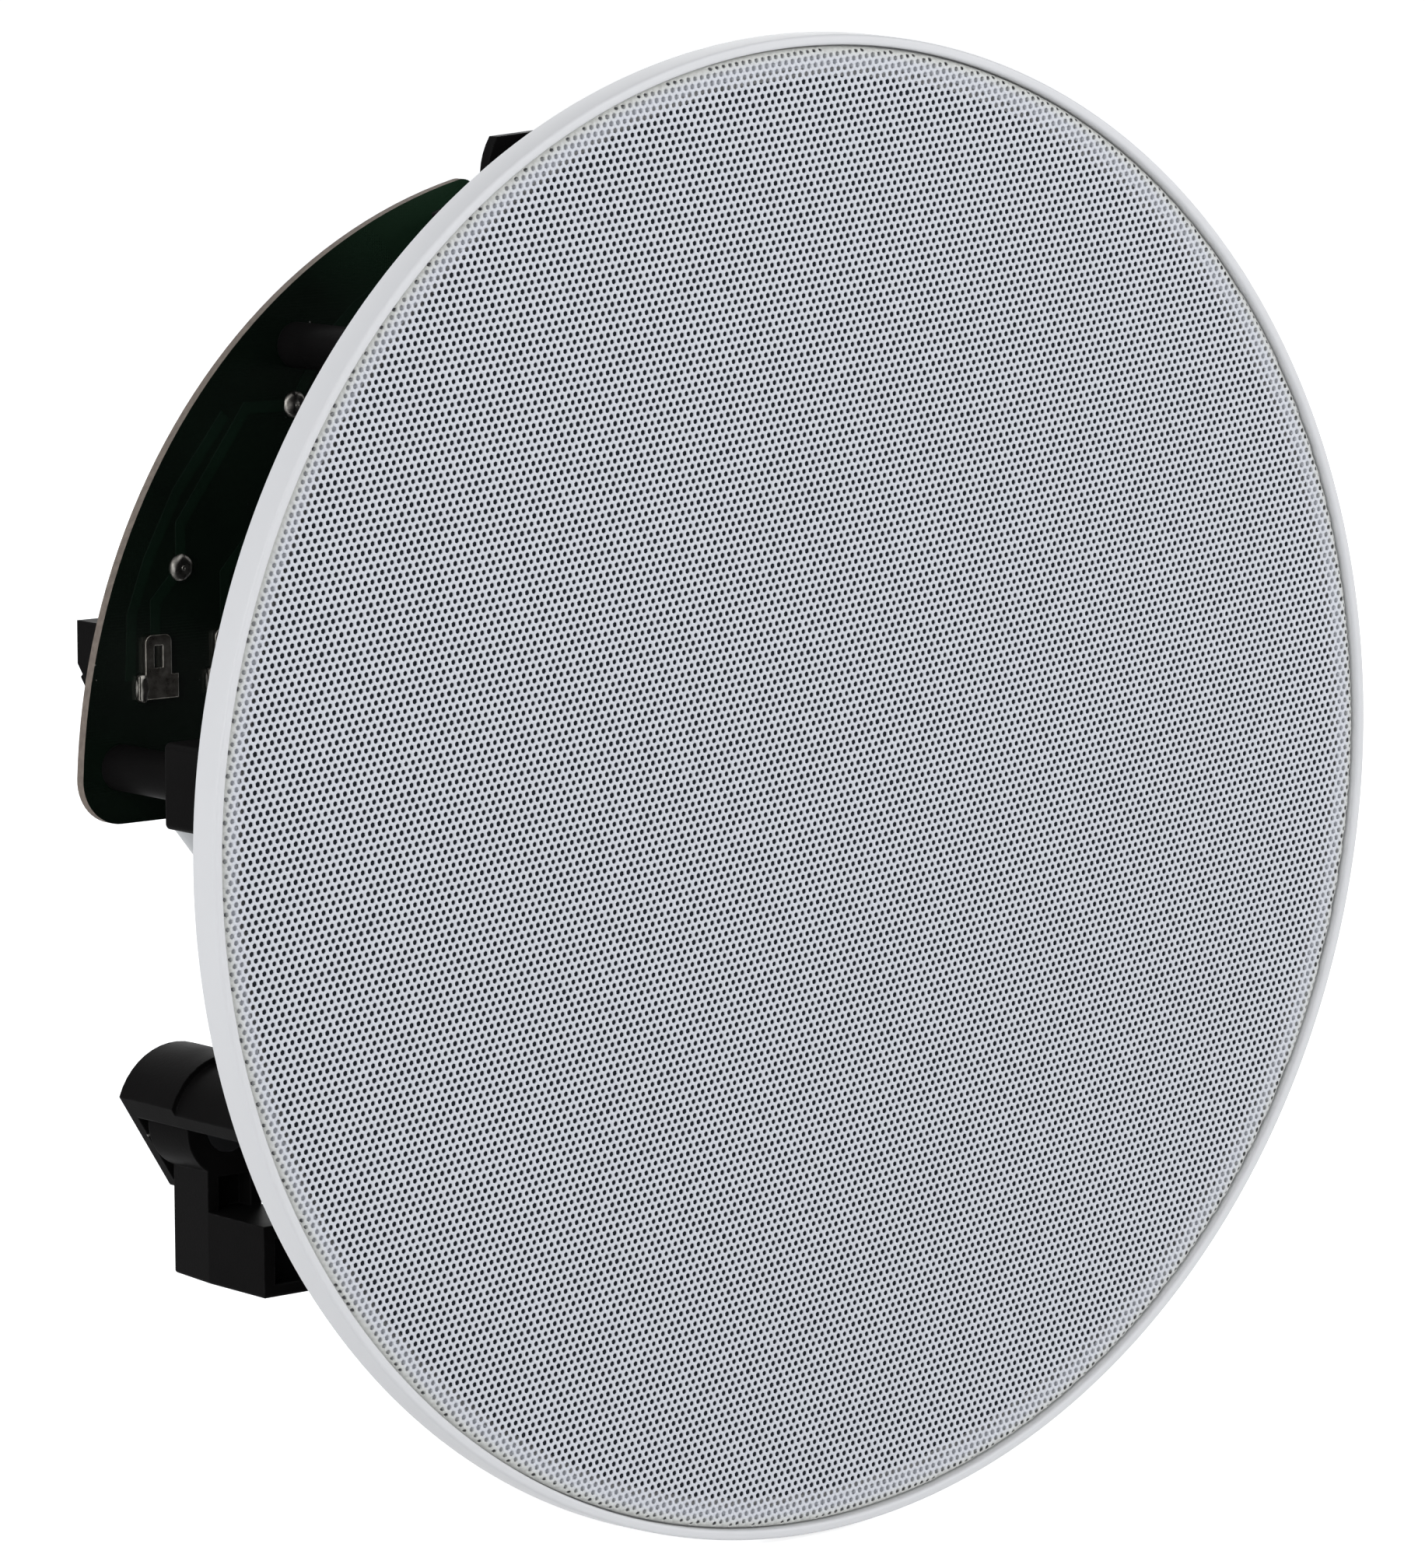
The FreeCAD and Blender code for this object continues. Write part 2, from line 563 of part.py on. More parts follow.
def make_clamp_arm():
    """Dog-leg arm about the screw axis, pointing along +X, with its folding side towards +Z."""
    section = [
        Vector(0, ARM_FRONT_Y, -ARM_LEADING_SIDE), Vector(0, ARM_FRONT_Y, ARM_TRAILING_SIDE),
        Vector(0, ARM_REAR_Y, ARM_TRAILING_SIDE), Vector(0, ARM_REAR_Y, ARM_TAPER - ARM_LEADING_SIDE)]
    beam = Part.Face(Part.makePolygon(section + section[:1])).extrude(Vector(ARM_LENGTH, 0, 0))
    toe_start = ARM_LENGTH - TOE_HEIGHT
    toe = box(toe_start, ARM_LENGTH, TOE_FRONT_Y, ARM_FRONT_Y, -ARM_LEADING_SIDE, ARM_TRAILING_SIDE)
    leg = beam.fuse(toe).removeSplitter()
    leg = rounded(leg, ARM_EDGE_ROUND, lambda edge: edge.BoundBox.XMin > ARM_LENGTH - SAME_PLACE)
    arm = leg.fuse(rod(ARM_HUB_R, ARM_FRONT_Y, ARM_REAR_Y)).removeSplitter()
    toe_pocket = box(toe_start + TOE_POCKET_WALL, ARM_LENGTH - TOE_POCKET_WALL,
                     TOE_FRONT_Y - CUT_OVERRUN, TOE_FRONT_Y + TOE_POCKET_DEPTH,
                     TOE_POCKET_WALL - ARM_LEADING_SIDE, ARM_TRAILING_SIDE - TOE_POCKET_WALL)
    beam_pocket = box(ARM_HUB_R, toe_start, ARM_FRONT_Y - CUT_OVERRUN, ARM_FRONT_Y + ARM_POCKET_DEPTH,
                      ARM_POCKET_WALL - ARM_LEADING_SIDE, ARM_TRAILING_SIDE - ARM_POCKET_WALL)
    bore = drill(NUT_R + RUNNING_GAP, ARM_FRONT_Y, ARM_REAR_Y)
    return arm.cut([toe_pocket, beam_pocket, bore])


def at_clamp(shape, angle):
    """Piece modelled about the screw axis, moved to the clamp at this angle."""
    copy = shape.copy()
    copy.translate(Vector(SCREW_CIRCLE_R, 0, 0))
    return at_angle(copy, angle)


def woofer_screw_places():
    circle_r = (BASKET_FLANGE_R + BAFFLE_OPENING_R) / 2
    return [polar(circle_r, WOOFER_SCREW_FIRST_ANGLE + 360.0 * i / WOOFER_SCREW_COUNT)
            for i in range(WOOFER_SCREW_COUNT)]


def make_basket():
    floor_hole_r = POLE_R + MAGNET_GAP + BASKET_FLOOR_GAP
    well_inner_r = BASKET_WELL_R - BASKET_WALL
    basket = turned([
        (BASKET_FLANGE_R, BASKET_FRONT_Y), (BASKET_FLANGE_R, BAFFLE_FRONT_Y),
        (BASKET_CAN_R, BAFFLE_FRONT_Y), (BASKET_CAN_R, BASKET_CONE_Y),
        (BASKET_LEDGE_R, BASKET_LEDGE_Y), (BASKET_LEDGE_R, BASKET_LEDGE_Y + BASKET_WALL),
        (BASKET_WELL_R, BASKET_LEDGE_Y + BASKET_WALL), (BASKET_WELL_R, BASKET_REAR_Y),
        (floor_hole_r, BASKET_REAR_Y), (floor_hole_r, BASKET_FLOOR_Y),
        (well_inner_r, BASKET_FLOOR_Y), (well_inner_r, BASKET_LEDGE_Y),
        (BASKET_LEDGE_R - BASKET_WALL, BASKET_LEDGE_Y), (SURROUND_ROLL_R, BASKET_CONE_Y),
        (SURROUND_ROLL_R, BASKET_FRONT_Y)])
    window_front_y = BASKET_CONE_Y + BASKET_WINDOW_MARGIN
    window_rear_y = BASKET_LEDGE_Y - BASKET_WINDOW_MARGIN
    window = turned([
        (well_inner_r, window_front_y), (BASKET_FLANGE_R, window_front_y),
        (BASKET_FLANGE_R, window_rear_y), (well_inner_r, window_rear_y)], BASKET_WINDOW_ANGLE)
    cuts = around(window, BASKET_WINDOWS, 0)
    for x, z in woofer_screw_places():
        cuts.append(drill(WOOFER_SCREW_SHANK_R + SLIP_GAP, BASKET_FRONT_Y, BAFFLE_FRONT_Y, x, z))
    return basket.cut(cuts)


def make_woofer_gasket():
    """Ring over the edge of the surround, clamped by the woofer screws."""
    top_y = surround_front_y() - GASKET_THICKNESS
    landing_r = surround_landing_r()
    inner_r = SURROUND_ROLL_R + SURROUND_THICKNESS + SLIP_GAP
    ring = turned([
        (BASKET_FLANGE_R, top_y), (BASKET_FLANGE_R, BASKET_FRONT_Y), (landing_r, BASKET_FRONT_Y),
        (landing_r, surround_front_y()), (inner_r, surround_front_y()), (inner_r, top_y)])
    cuts = []
    for x, z in woofer_screw_places():
        cuts.append(drill(WOOFER_SCREW_SHANK_R + SLIP_GAP, top_y, BASKET_FRONT_Y, x, z))
    return ring.cut(cuts)


def surround_front_y():
    return BASKET_FRONT_Y - SURROUND_THICKNESS


def surround_landing_r():
    return SURROUND_ROLL_R + SURROUND_LANDING


def make_surround():
    """Half-roll rubber ring between the frame and the cone's edge."""
    landing_r = surround_landing_r()
    centre_r = (SURROUND_ROLL_R + CONE_EDGE_R) / 2
    roll_r = SURROUND_ROLL_WIDTH / 2
    back_y = BASKET_FRONT_Y
    front_y = surround_front_y()
    edge_r = CONE_EDGE_R - CONE_EDGE_LIP

    def roll(radius, first, last):
        return Part.Arc(first, Vector(centre_r, back_y - radius, 0), last).toShape()

    small = Vector(centre_r - roll_r, back_y, 0)
    large = Vector(centre_r + roll_r, back_y, 0)
    small_front = Vector(centre_r - roll_r - SURROUND_THICKNESS, front_y, 0)
    large_front = Vector(centre_r + roll_r + SURROUND_THICKNESS, front_y, 0)
    corners_out = [large, Vector(landing_r, back_y, 0), Vector(landing_r, front_y, 0), large_front]
    corners_in = [small_front, Vector(edge_r, front_y, 0), Vector(edge_r, back_y, 0), small]
    edges = [roll(roll_r, small, large)]
    edges += [Part.makeLine(a, b) for a, b in zip(corners_out, corners_out[1:])]
    edges.append(roll(roll_r + SURROUND_THICKNESS, large_front, small_front))
    edges += [Part.makeLine(a, b) for a, b in zip(corners_in, corners_in[1:])]
    return Part.Face(Part.Wire(edges)).revolve(ORIGIN, FRONT_AXIS, 360)


def make_cone():
    """Paper cone glued under the surround and round the coil former."""
    lip_r = CONE_EDGE_R - CONE_EDGE_LIP
    lip_rear_y = CONE_EDGE_Y + CONE_THICKNESS
    neck_r = FORMER_OUTER_R
    neck_front_y = CONE_NECK_Y - CONE_THICKNESS
    return turned([
        (CONE_EDGE_R, CONE_EDGE_Y), (CONE_EDGE_R, lip_rear_y), (lip_r, lip_rear_y),
        (neck_r + CONE_THICKNESS, CONE_NECK_Y), (neck_r, CONE_NECK_Y), (neck_r, neck_front_y),
        (lip_r, CONE_EDGE_Y)])


def cone_front_y(radius):
    """Depth of the cone's front face at this radius."""
    lip_r = CONE_EDGE_R - CONE_EDGE_LIP
    share = (lip_r - radius) / (lip_r - FORMER_OUTER_R)
    return CONE_EDGE_Y + share * (CONE_NECK_Y - CONE_THICKNESS - CONE_EDGE_Y)


def make_dust_cap():
    """Dome glued on the cone over the coil."""
    edge_y = cone_front_y(DUST_CAP_R)
    outer_top = Vector(0, edge_y - DUST_CAP_RISE, 0)
    inner_top = Vector(0, edge_y - DUST_CAP_RISE + DUST_CAP_THICKNESS, 0)
    inner_r = DUST_CAP_R - DUST_CAP_THICKNESS
    outer_edge = Vector(DUST_CAP_R, edge_y, 0)
    inner_edge = Vector(inner_r, edge_y, 0)

    def dome(top, edge):
        rise = edge.y - top.y
        sphere_r = (edge.x ** 2 + rise ** 2) / (2 * rise)
        half = 0.5 * math.asin(edge.x / sphere_r)
        middle = Vector(sphere_r * math.sin(half), top.y + sphere_r * (1 - math.cos(half)), 0)
        return Part.Arc(top, middle, edge).toShape()

    edges = [
        dome(outer_top, outer_edge), Part.makeLine(outer_edge, inner_edge),
        dome(inner_top, inner_edge), Part.makeLine(inner_top, outer_top)]
    return Part.Face(Part.Wire(Part.__sortEdges__(edges))).revolve(ORIGIN, FRONT_AXIS, 360)


def make_spider():
    """Corrugated cloth ring that centres the coil, glued to the frame's ledge."""
    inner_r = FORMER_OUTER_R
    outer_r = BASKET_LEDGE_R - BASKET_WALL
    landing_r = BASKET_WELL_R - BASKET_WALL
    back_y = BASKET_LEDGE_Y
    steps = 2 * SPIDER_WAVES
    wave = [(inner_r + (landing_r - inner_r) * i / steps, SPIDER_WAVE_HEIGHT * (i % 2))
            for i in range(steps + 1)]
    back = [(r, back_y - h) for r, h in wave]
    front = [(r, back_y - SPIDER_THICKNESS - h) for r, h in reversed(wave)]
    return turned(back + [(outer_r, back_y), (outer_r, back_y - SPIDER_THICKNESS)] + front)


def coil_middle_y():
    return BASKET_REAR_Y + TOP_PLATE_THICKNESS / 2


def make_coil_former():
    rear_y = coil_middle_y() + COIL_LENGTH / 2
    front_y = CONE_NECK_Y - CONE_THICKNESS
    return rod(FORMER_OUTER_R, front_y, rear_y).cut(drill(FORMER_INNER_R, front_y, rear_y))


def make_voice_coil():
    front_y = coil_middle_y() - COIL_LENGTH / 2
    rear_y = coil_middle_y() + COIL_LENGTH / 2
    outside = rod(FORMER_OUTER_R + COIL_WALL, front_y, rear_y)
    return outside.cut(drill(FORMER_OUTER_R, front_y, rear_y))


def make_top_plate():
    plate = rod(TOP_PLATE_R, BASKET_REAR_Y, TOP_PLATE_REAR_Y)
    return plate.cut(drill(POLE_R + MAGNET_GAP, BASKET_REAR_Y, TOP_PLATE_REAR_Y))


def make_ring_magnet():
    magnet = rod(MAGNET_R, TOP_PLATE_REAR_Y, MAGNET_REAR_Y)
    magnet = rounded(magnet, MAGNET_EDGE_ROUND, lambda edge: len(edge.Vertexes) == 1)
    bore = drill(POLE_R + MAGNET_POLE_GAP, TOP_PLATE_REAR_Y, MAGNET_REAR_Y)
    return magnet.cut(bore)


def make_back_plate():
    plate = rod(TOP_PLATE_R, MAGNET_REAR_Y, BACK_PLATE_REAR_Y)
    pole = rod(POLE_R, BASKET_REAR_Y, MAGNET_REAR_Y)
    yoke = plate.fuse(pole).removeSplitter()
    return yoke.cut(drill(POLE_VENT_R, BASKET_REAR_Y, BACK_PLATE_REAR_Y))


def make_woofer_screws():
    seat_y = surround_front_y() - GASKET_THICKNESS
    screws = [pan_screw(x, z, seat_y, WOOFER_SCREW_HEAD_HEIGHT, WOOFER_SCREW_HEAD_R,
                        WOOFER_SCREW_SHANK_R, BAFFLE_REAR_Y) for x, z in woofer_screw_places()]
    return Part.makeCompound(screws)


def make_woofer_terminals():
    """Small plate under the frame's ledge with two solder tags."""
    plate_y = BASKET_LEDGE_Y + BASKET_WALL
    tag_y = plate_y + TAG_PLATE_THICKNESS
    inner_r = BASKET_WELL_R + SLIP_GAP
    outer_r = math.sqrt(BASKET_LEDGE_R ** 2 - (TAG_PLATE_WIDTH / 2) ** 2)
    middle_r = (inner_r + outer_r) / 2
    solids = [box(inner_r, outer_r, plate_y, tag_y, -TAG_PLATE_WIDTH / 2, TAG_PLATE_WIDTH / 2)]
    for side in (-1, 1):
        middle = side * TAG_SPACING / 2
        solids.append(box(middle_r - TAG_THICKNESS / 2, middle_r + TAG_THICKNESS / 2, tag_y,
                          tag_y + TAG_LENGTH, middle - TAG_WIDTH / 2, middle + TAG_WIDTH / 2))
    return Part.makeCompound([at_angle(solid, TAG_ANGLE) for solid in solids])


def bridge_screw_places():
    return [(side * (bridge_reach_r() - BRIDGE_SCREW_INSET), 0.0) for side in (-1, 1)]


def bridge_reach_r():
    return RING_INNER_R - BRIDGE_END_GAP


def make_tweeter_bridge():
    """Bar across the woofer opening with a cup for the tweeter."""
    front_y = PLATE_FRONT_Y - BRIDGE_THICKNESS
    cup_rear_y = front_y + BRIDGE_CUP_DEPTH
    half = BRIDGE_WIDTH / 2
    bar = box(-bridge_reach_r(), bridge_reach_r(), front_y, PLATE_FRONT_Y, -half, half)
    bar = rounded(bar, BRIDGE_END_ROUND, along_depth)
    bridge = bar.fuse(rod(BRIDGE_CUP_R, front_y, cup_rear_y)).removeSplitter()
    cuts = [
        rod(BRIDGE_CUP_R - BRIDGE_CUP_WALL, front_y - CUT_OVERRUN, cup_rear_y - BRIDGE_CUP_WALL),
        rod(BRIDGE_CUP_R - BRIDGE_CUP_WALL - BRIDGE_CUP_LIP, front_y, cup_rear_y + CUT_OVERRUN)]
    for x, z in bridge_screw_places():
        cuts.append(rod(BRIDGE_SCREW_HEAD_R + SLIP_GAP, front_y - CUT_OVERRUN, bridge_head_seat_y(), x, z))
        cuts.append(rod(BRIDGE_SCREW_SHANK_R + SLIP_GAP, front_y, PLATE_FRONT_Y + CUT_OVERRUN, x, z))
    return bridge.cut(cuts)


def bridge_head_seat_y():
    return PLATE_FRONT_Y - BRIDGE_THICKNESS + BRIDGE_SCREW_HEAD_HEIGHT


def make_bridge_screws():
    screws = [pan_screw(x, z, bridge_head_seat_y(), BRIDGE_SCREW_HEAD_HEIGHT, BRIDGE_SCREW_HEAD_R,
                        BRIDGE_SCREW_SHANK_R, PLATE_REAR_Y) for x, z in bridge_screw_places()]
    return Part.makeCompound(screws)


def faceplate_rear_y():
    return PLATE_FRONT_Y - BRIDGE_THICKNESS + FACEPLATE_THICKNESS


def make_tweeter_faceplate():
    """Ring with a flared mouth round the dome."""
    front_y = PLATE_FRONT_Y - BRIDGE_THICKNESS
    outer_r = BRIDGE_CUP_R - BRIDGE_CUP_WALL - RUNNING_GAP
    throat_r = DOME_R + SLIP_GAP
    return turned([
        (outer_r, front_y), (outer_r, faceplate_rear_y()), (throat_r, faceplate_rear_y()),
        (throat_r + WAVEGUIDE_FLARE, front_y)])


def make_tweeter_motor():
    """Sealed magnet can that fills the cup behind the faceplate."""
    cup_floor_y = PLATE_FRONT_Y - BRIDGE_THICKNESS + BRIDGE_CUP_DEPTH - BRIDGE_CUP_WALL
    radius = BRIDGE_CUP_R - BRIDGE_CUP_WALL - RUNNING_GAP
    return rod(radius, faceplate_rear_y(), cup_floor_y)


def make_tweeter_dome():
    """Thin dome that stands on the motor inside the faceplate's throat."""
    base_y = faceplate_rear_y()
    top_y = CLOTH_BACK_Y + DOME_CLOTH_GAP
    rise = base_y - top_y
    sphere_r = (DOME_R ** 2 + rise ** 2) / (2 * rise)
    centre = Vector(0, top_y + sphere_r, 0)
    shell = Part.makeSphere(sphere_r, centre).cut(Part.makeSphere(sphere_r - DOME_THICKNESS, centre))
    return shell.common(rod(sphere_r, top_y - CUT_OVERRUN, base_y))


def arc_end(radius, z):
    """X of the left point of a circle at this height."""
    return -math.sqrt(radius ** 2 - z ** 2)


def make_crossover_board():
    """Quarter-ring board with a straight lower edge and a straight right edge."""
    outer_top = math.sqrt(BOARD_R ** 2 - BOARD_RIGHT_X ** 2)
    inner_top = math.sqrt(BOARD_INNER_R ** 2 - BOARD_RIGHT_X ** 2)

    def flat(x, z):
        return Vector(x, BOARD_FRONT_Y, z)

    def middle(radius):
        return flat(*polar(radius, BOARD_MIDDLE_ANGLE))

    lower_left = flat(arc_end(BOARD_R, BOARD_BOTTOM_Z), BOARD_BOTTOM_Z)
    upper_right = flat(BOARD_RIGHT_X, outer_top)
    inner_upper = flat(BOARD_RIGHT_X, inner_top)
    inner_lower = flat(arc_end(BOARD_INNER_R, BOARD_BOTTOM_Z), BOARD_BOTTOM_Z)
    edges = [
        Part.Arc(lower_left, middle(BOARD_R), upper_right).toShape(),
        Part.makeLine(upper_right, inner_upper),
        Part.Arc(inner_upper, middle(BOARD_INNER_R), inner_lower).toShape(),
        Part.makeLine(inner_lower, lower_left)]
    board = Part.Face(Part.Wire(edges)).extrude(Vector(0, BOARD_THICKNESS, 0))

    def corner_at(point):
        return lambda edge: along_depth(edge) and edge.CenterOfMass.distanceToPoint(
            point + Vector(0, BOARD_THICKNESS / 2, 0)) < SAME_PLACE

    board = rounded(board, BOARD_CORNER_R, corner_at(lower_left))
    for corner in (upper_right, inner_upper, inner_lower):
        board = rounded(board, BOARD_TIP_R, corner_at(corner))
    cuts = [drill(BOARD_SCREW_SHANK_R + SLIP_GAP, BOARD_FRONT_Y, BOARD_REAR_Y, x, z)
            for x, z in post_places()]
    return board.cut(cuts)


def make_board_screws():
    """Screws driven from behind through the board into the posts."""
    solids = []
    for x, z in post_places():
        head = rod(BOARD_SCREW_HEAD_R, BOARD_REAR_Y, BOARD_REAR_Y + BOARD_SCREW_HEAD_HEIGHT, x, z)
        shank = rod(BOARD_SCREW_SHANK_R, BOARD_REAR_Y - BOARD_SCREW_LENGTH, BOARD_REAR_Y, x, z)
        solids.append(head.fuse(shank).removeSplitter())
    return Part.makeCompound(solids)


def board_x(from_left):
    """X of a place this far from the board's left edge."""
    return from_left - BOARD_R


def block_slope():
    """Top and bottom of the slanted face as (y, z), and its length."""
    top = (BOARD_REAR_Y + BLOCK_DEPTH, BLOCK_TOP_Z - BLOCK_REAR_HEIGHT)
    bottom = (BOARD_REAR_Y + BLOCK_FOOT_DEPTH, BLOCK_BOTTOM_Z)
    return top, bottom, math.hypot(top[0] - bottom[0], top[1] - bottom[1])


def block_normal():
    """Outward direction of the slanted face, to the rear and down."""
    top, bottom, length = block_slope()
    return Vector(0, (top[1] - bottom[1]) / length, (bottom[0] - top[0]) / length)


def on_slope(x, from_top):
    """Point on the slanted face at this distance below its top edge."""
    top, bottom, length = block_slope()
    share = from_top / length
    return Vector(x, top[0] + share * (bottom[0] - top[0]), top[1] + share * (bottom[1] - top[1]))


def block_way_xs():
    middle = board_x(BLOCK_FROM_LEFT) + BLOCK_WIDTH / 2
    return [middle - BLOCK_WAY_PITCH / 2, middle + BLOCK_WAY_PITCH / 2]


def slope_block(x, from_top, width, length, inside, outside):
    """Block square to the slanted face, from its inside depth to its outside height."""
    normal = block_normal()
    start = on_slope(x, from_top) - normal * inside
    down = on_slope(x, from_top + length) - on_slope(x, from_top)
    across = Vector(width, 0, 0)
    corner = start - across * 0.5
    corners = [corner, corner + across, corner + across + down, corner + down, corner]
    return Part.Face(Part.makePolygon(corners)).extrude(normal * (inside + outside))


def make_terminal_block():
    top, bottom, length = block_slope()
    profile = [
        (BOARD_REAR_Y, BLOCK_TOP_Z), (top[0], BLOCK_TOP_Z), top, bottom, (BOARD_REAR_Y, BLOCK_BOTTOM_Z)]
    corners = [Vector(board_x(BLOCK_FROM_LEFT), y, z) for y, z in profile]
    block = Part.Face(Part.makePolygon(corners + corners[:1])).extrude(Vector(BLOCK_WIDTH, 0, 0))
    cavity_depth = BUTTON_INSIDE + BUTTON_TRAVEL + SLIP_GAP
    cuts = []
    for x in block_way_xs():
        cuts.append(slope_block(x, BUTTON_FROM_EDGE - RUNNING_GAP, BUTTON_WIDTH + 2 * RUNNING_GAP,
                                BUTTON_LENGTH + 2 * RUNNING_GAP, cavity_depth, CUT_OVERRUN))
        mouth = on_slope(x, length - WIRE_HOLE_FROM_EDGE)
        cuts.append(Part.makeCylinder(WIRE_HOLE_R, WIRE_HOLE_DEPTH + CUT_OVERRUN,
                                      mouth - block_normal() * WIRE_HOLE_DEPTH, block_normal()))
    return block.cut(cuts)


def make_terminal_button(x):
    button = slope_block(x, BUTTON_FROM_EDGE, BUTTON_WIDTH, BUTTON_LENGTH, BUTTON_INSIDE, BUTTON_PROUD)
    outer = on_slope(x, BUTTON_FROM_EDGE).dot(block_normal()) + BUTTON_PROUD
    return rounded(button, BUTTON_ROUND, lambda edge: all(
        abs(v.Point.dot(block_normal()) - outer) < SAME_PLACE for v in edge.Vertexes))


def make_spade_tabs():
    solids = []
    front_y = BOARD_FRONT_Y - SPADE_THICKNESS
    for x in (board_x(SPADE_FROM_LEFT), board_x(SPADE_FROM_LEFT + SPADE_PITCH)):
        tab = box(x - SPADE_WIDTH / 2, x + SPADE_WIDTH / 2, front_y, BOARD_FRONT_Y,
                  SPADE_BOTTOM_Z, SPADE_TOP_Z)
        tab = rounded(tab, SPADE_WIDTH / 4, lambda edge: along_depth(edge)
                      and edge.BoundBox.ZMin > SPADE_TOP_Z - SAME_PLACE)
        slot_top = SPADE_TOP_Z - SPADE_SLOT_WIDTH
        slot = box(x - SPADE_SLOT_WIDTH / 2, x + SPADE_SLOT_WIDTH / 2,
                   front_y - CUT_OVERRUN, BOARD_FRONT_Y + CUT_OVERRUN,
                   slot_top - SPADE_SLOT_LENGTH, slot_top)
        foot = box(x - SPADE_FOOT_WIDTH / 2, x + SPADE_FOOT_WIDTH / 2, front_y, BOARD_FRONT_Y,
                   SPADE_BOTTOM_Z, SPADE_BOTTOM_Z + SPADE_FOOT_HEIGHT)
        solids.append(tab.cut(slot).fuse(foot).removeSplitter())
    return Part.makeCompound(solids)


def lying_capacitor(radius, length, x, z, angle):
    """Round capacitor that lies on the rear of the board."""
    direction = Vector(math.cos(math.radians(angle)), 0, math.sin(math.radians(angle)))
    middle = Vector(x, BOARD_REAR_Y + radius, z)
    can = Part.makeCylinder(radius, length, middle - direction * (length / 2), direction)
    return rounded(can, CAP_EDGE_ROUND, lambda edge: len(edge.Vertexes) == 1)


def make_inductor_bobbin():
    x, z = board_x(INDUCTOR_FROM_LEFT), INDUCTOR_Z
    rear_y = BOARD_REAR_Y + BOBBIN_HEIGHT
    hub = rod(BOBBIN_HUB_R, BOARD_REAR_Y, rear_y, x, z)
    front_flange = rod(BOBBIN_FLANGE_R, BOARD_REAR_Y, BOARD_REAR_Y + BOBBIN_FLANGE_THICKNESS, x, z)
    rear_flange = rod(BOBBIN_FLANGE_R, rear_y - BOBBIN_FLANGE_THICKNESS, rear_y, x, z)
    bobbin = hub.fuse([front_flange, rear_flange]).removeSplitter()
    return bobbin.cut(drill(BOBBIN_BORE_R, BOARD_REAR_Y, rear_y, x, z))


def make_inductor_winding():
    x, z = board_x(INDUCTOR_FROM_LEFT), INDUCTOR_Z
    outer_r = BOBBIN_FLANGE_R - WINDING_INSET
    front_y = BOARD_REAR_Y + BOBBIN_FLANGE_THICKNESS
    rear_y = BOARD_REAR_Y + BOBBIN_HEIGHT - BOBBIN_FLANGE_THICKNESS
    bore = drill(BOBBIN_HUB_R, front_y, rear_y, x, z)
    return rod(outer_r, front_y, rear_y, x, z).cut(bore)


def make_ceramic_resistor():
    half = RESISTOR_SIDE / 2
    bar = box(-RESISTOR_LENGTH / 2, RESISTOR_LENGTH / 2,
              BOARD_REAR_Y, BOARD_REAR_Y + RESISTOR_SIDE, -half, half)
    bar = rounded(bar, RESISTOR_EDGE_ROUND, along_depth)
    bar = at_angle(bar, RESISTOR_ANGLE)
    bar.translate(Vector(board_x(RESISTOR_FROM_LEFT), 0, RESISTOR_Z))
    return bar


def make_parts():
    parts = {
        "trim_ring": make_trim_ring(),
        "grille": make_grille(),
        "scrim_cloth": make_scrim_cloth(),
        "grille_magnets": make_grille_magnets(),
        "chassis": make_chassis(),
        "trim_screws": make_trim_screws(),
        "basket": make_basket(),
        "woofer_gasket": make_woofer_gasket(),
        "surround": make_surround(),
        "cone": make_cone(),
        "dust_cap": make_dust_cap(),
        "spider": make_spider(),
        "coil_former": make_coil_former(),
        "voice_coil": make_voice_coil(),
        "top_plate": make_top_plate(),
        "ring_magnet": make_ring_magnet(),
        "back_plate": make_back_plate(),
        "woofer_screws": make_woofer_screws(),
        "woofer_terminals": make_woofer_terminals(),
        "tweeter_bridge": make_tweeter_bridge(),
        "bridge_screws": make_bridge_screws(),
        "tweeter_faceplate": make_tweeter_faceplate(),
        "tweeter_motor": make_tweeter_motor(),
        "tweeter_dome": make_tweeter_dome(),
        "crossover_board": make_crossover_board(),
        "board_screws": make_board_screws(),
        "terminal_block": make_terminal_block(),
        "spade_tabs": make_spade_tabs(),
        "film_capacitor": lying_capacitor(FILM_CAP_R, FILM_CAP_LENGTH, board_x(FILM_CAP_FROM_LEFT),
                                          FILM_CAP_Z, FILM_CAP_ANGLE),
        "small_capacitor": lying_capacitor(SMALL_CAP_R, SMALL_CAP_LENGTH, board_x(SMALL_CAP_FROM_LEFT),
                                           SMALL_CAP_Z, SMALL_CAP_ANGLE),
        "inductor_bobbin": make_inductor_bobbin(),
        "inductor_winding": make_inductor_winding(),
        "ceramic_resistor": make_ceramic_resistor(),
    }
    for name, x in zip(("terminal_button_black", "terminal_button_red"), block_way_xs()):
        parts[name] = make_terminal_button(x)
    screw, nut, arm = make_clamp_screw(), make_clamp_nut(), make_clamp_arm()
    rest_swings = (ARM_FOLD_ANGLE, ARM_SWUNG_ANGLE, ARM_FOLD_ANGLE)
    for number, (angle, swing) in enumerate(zip(CLAMP_ANGLES, rest_swings), start=1):
        parts[f"clamp_screw_{number}"] = at_clamp(screw, angle)
        parts[f"clamp_nut_{number}"] = at_clamp(nut, angle)
        parts[f"clamp_arm_{number}"] = at_clamp(at_angle(arm, swing), angle)
    return parts


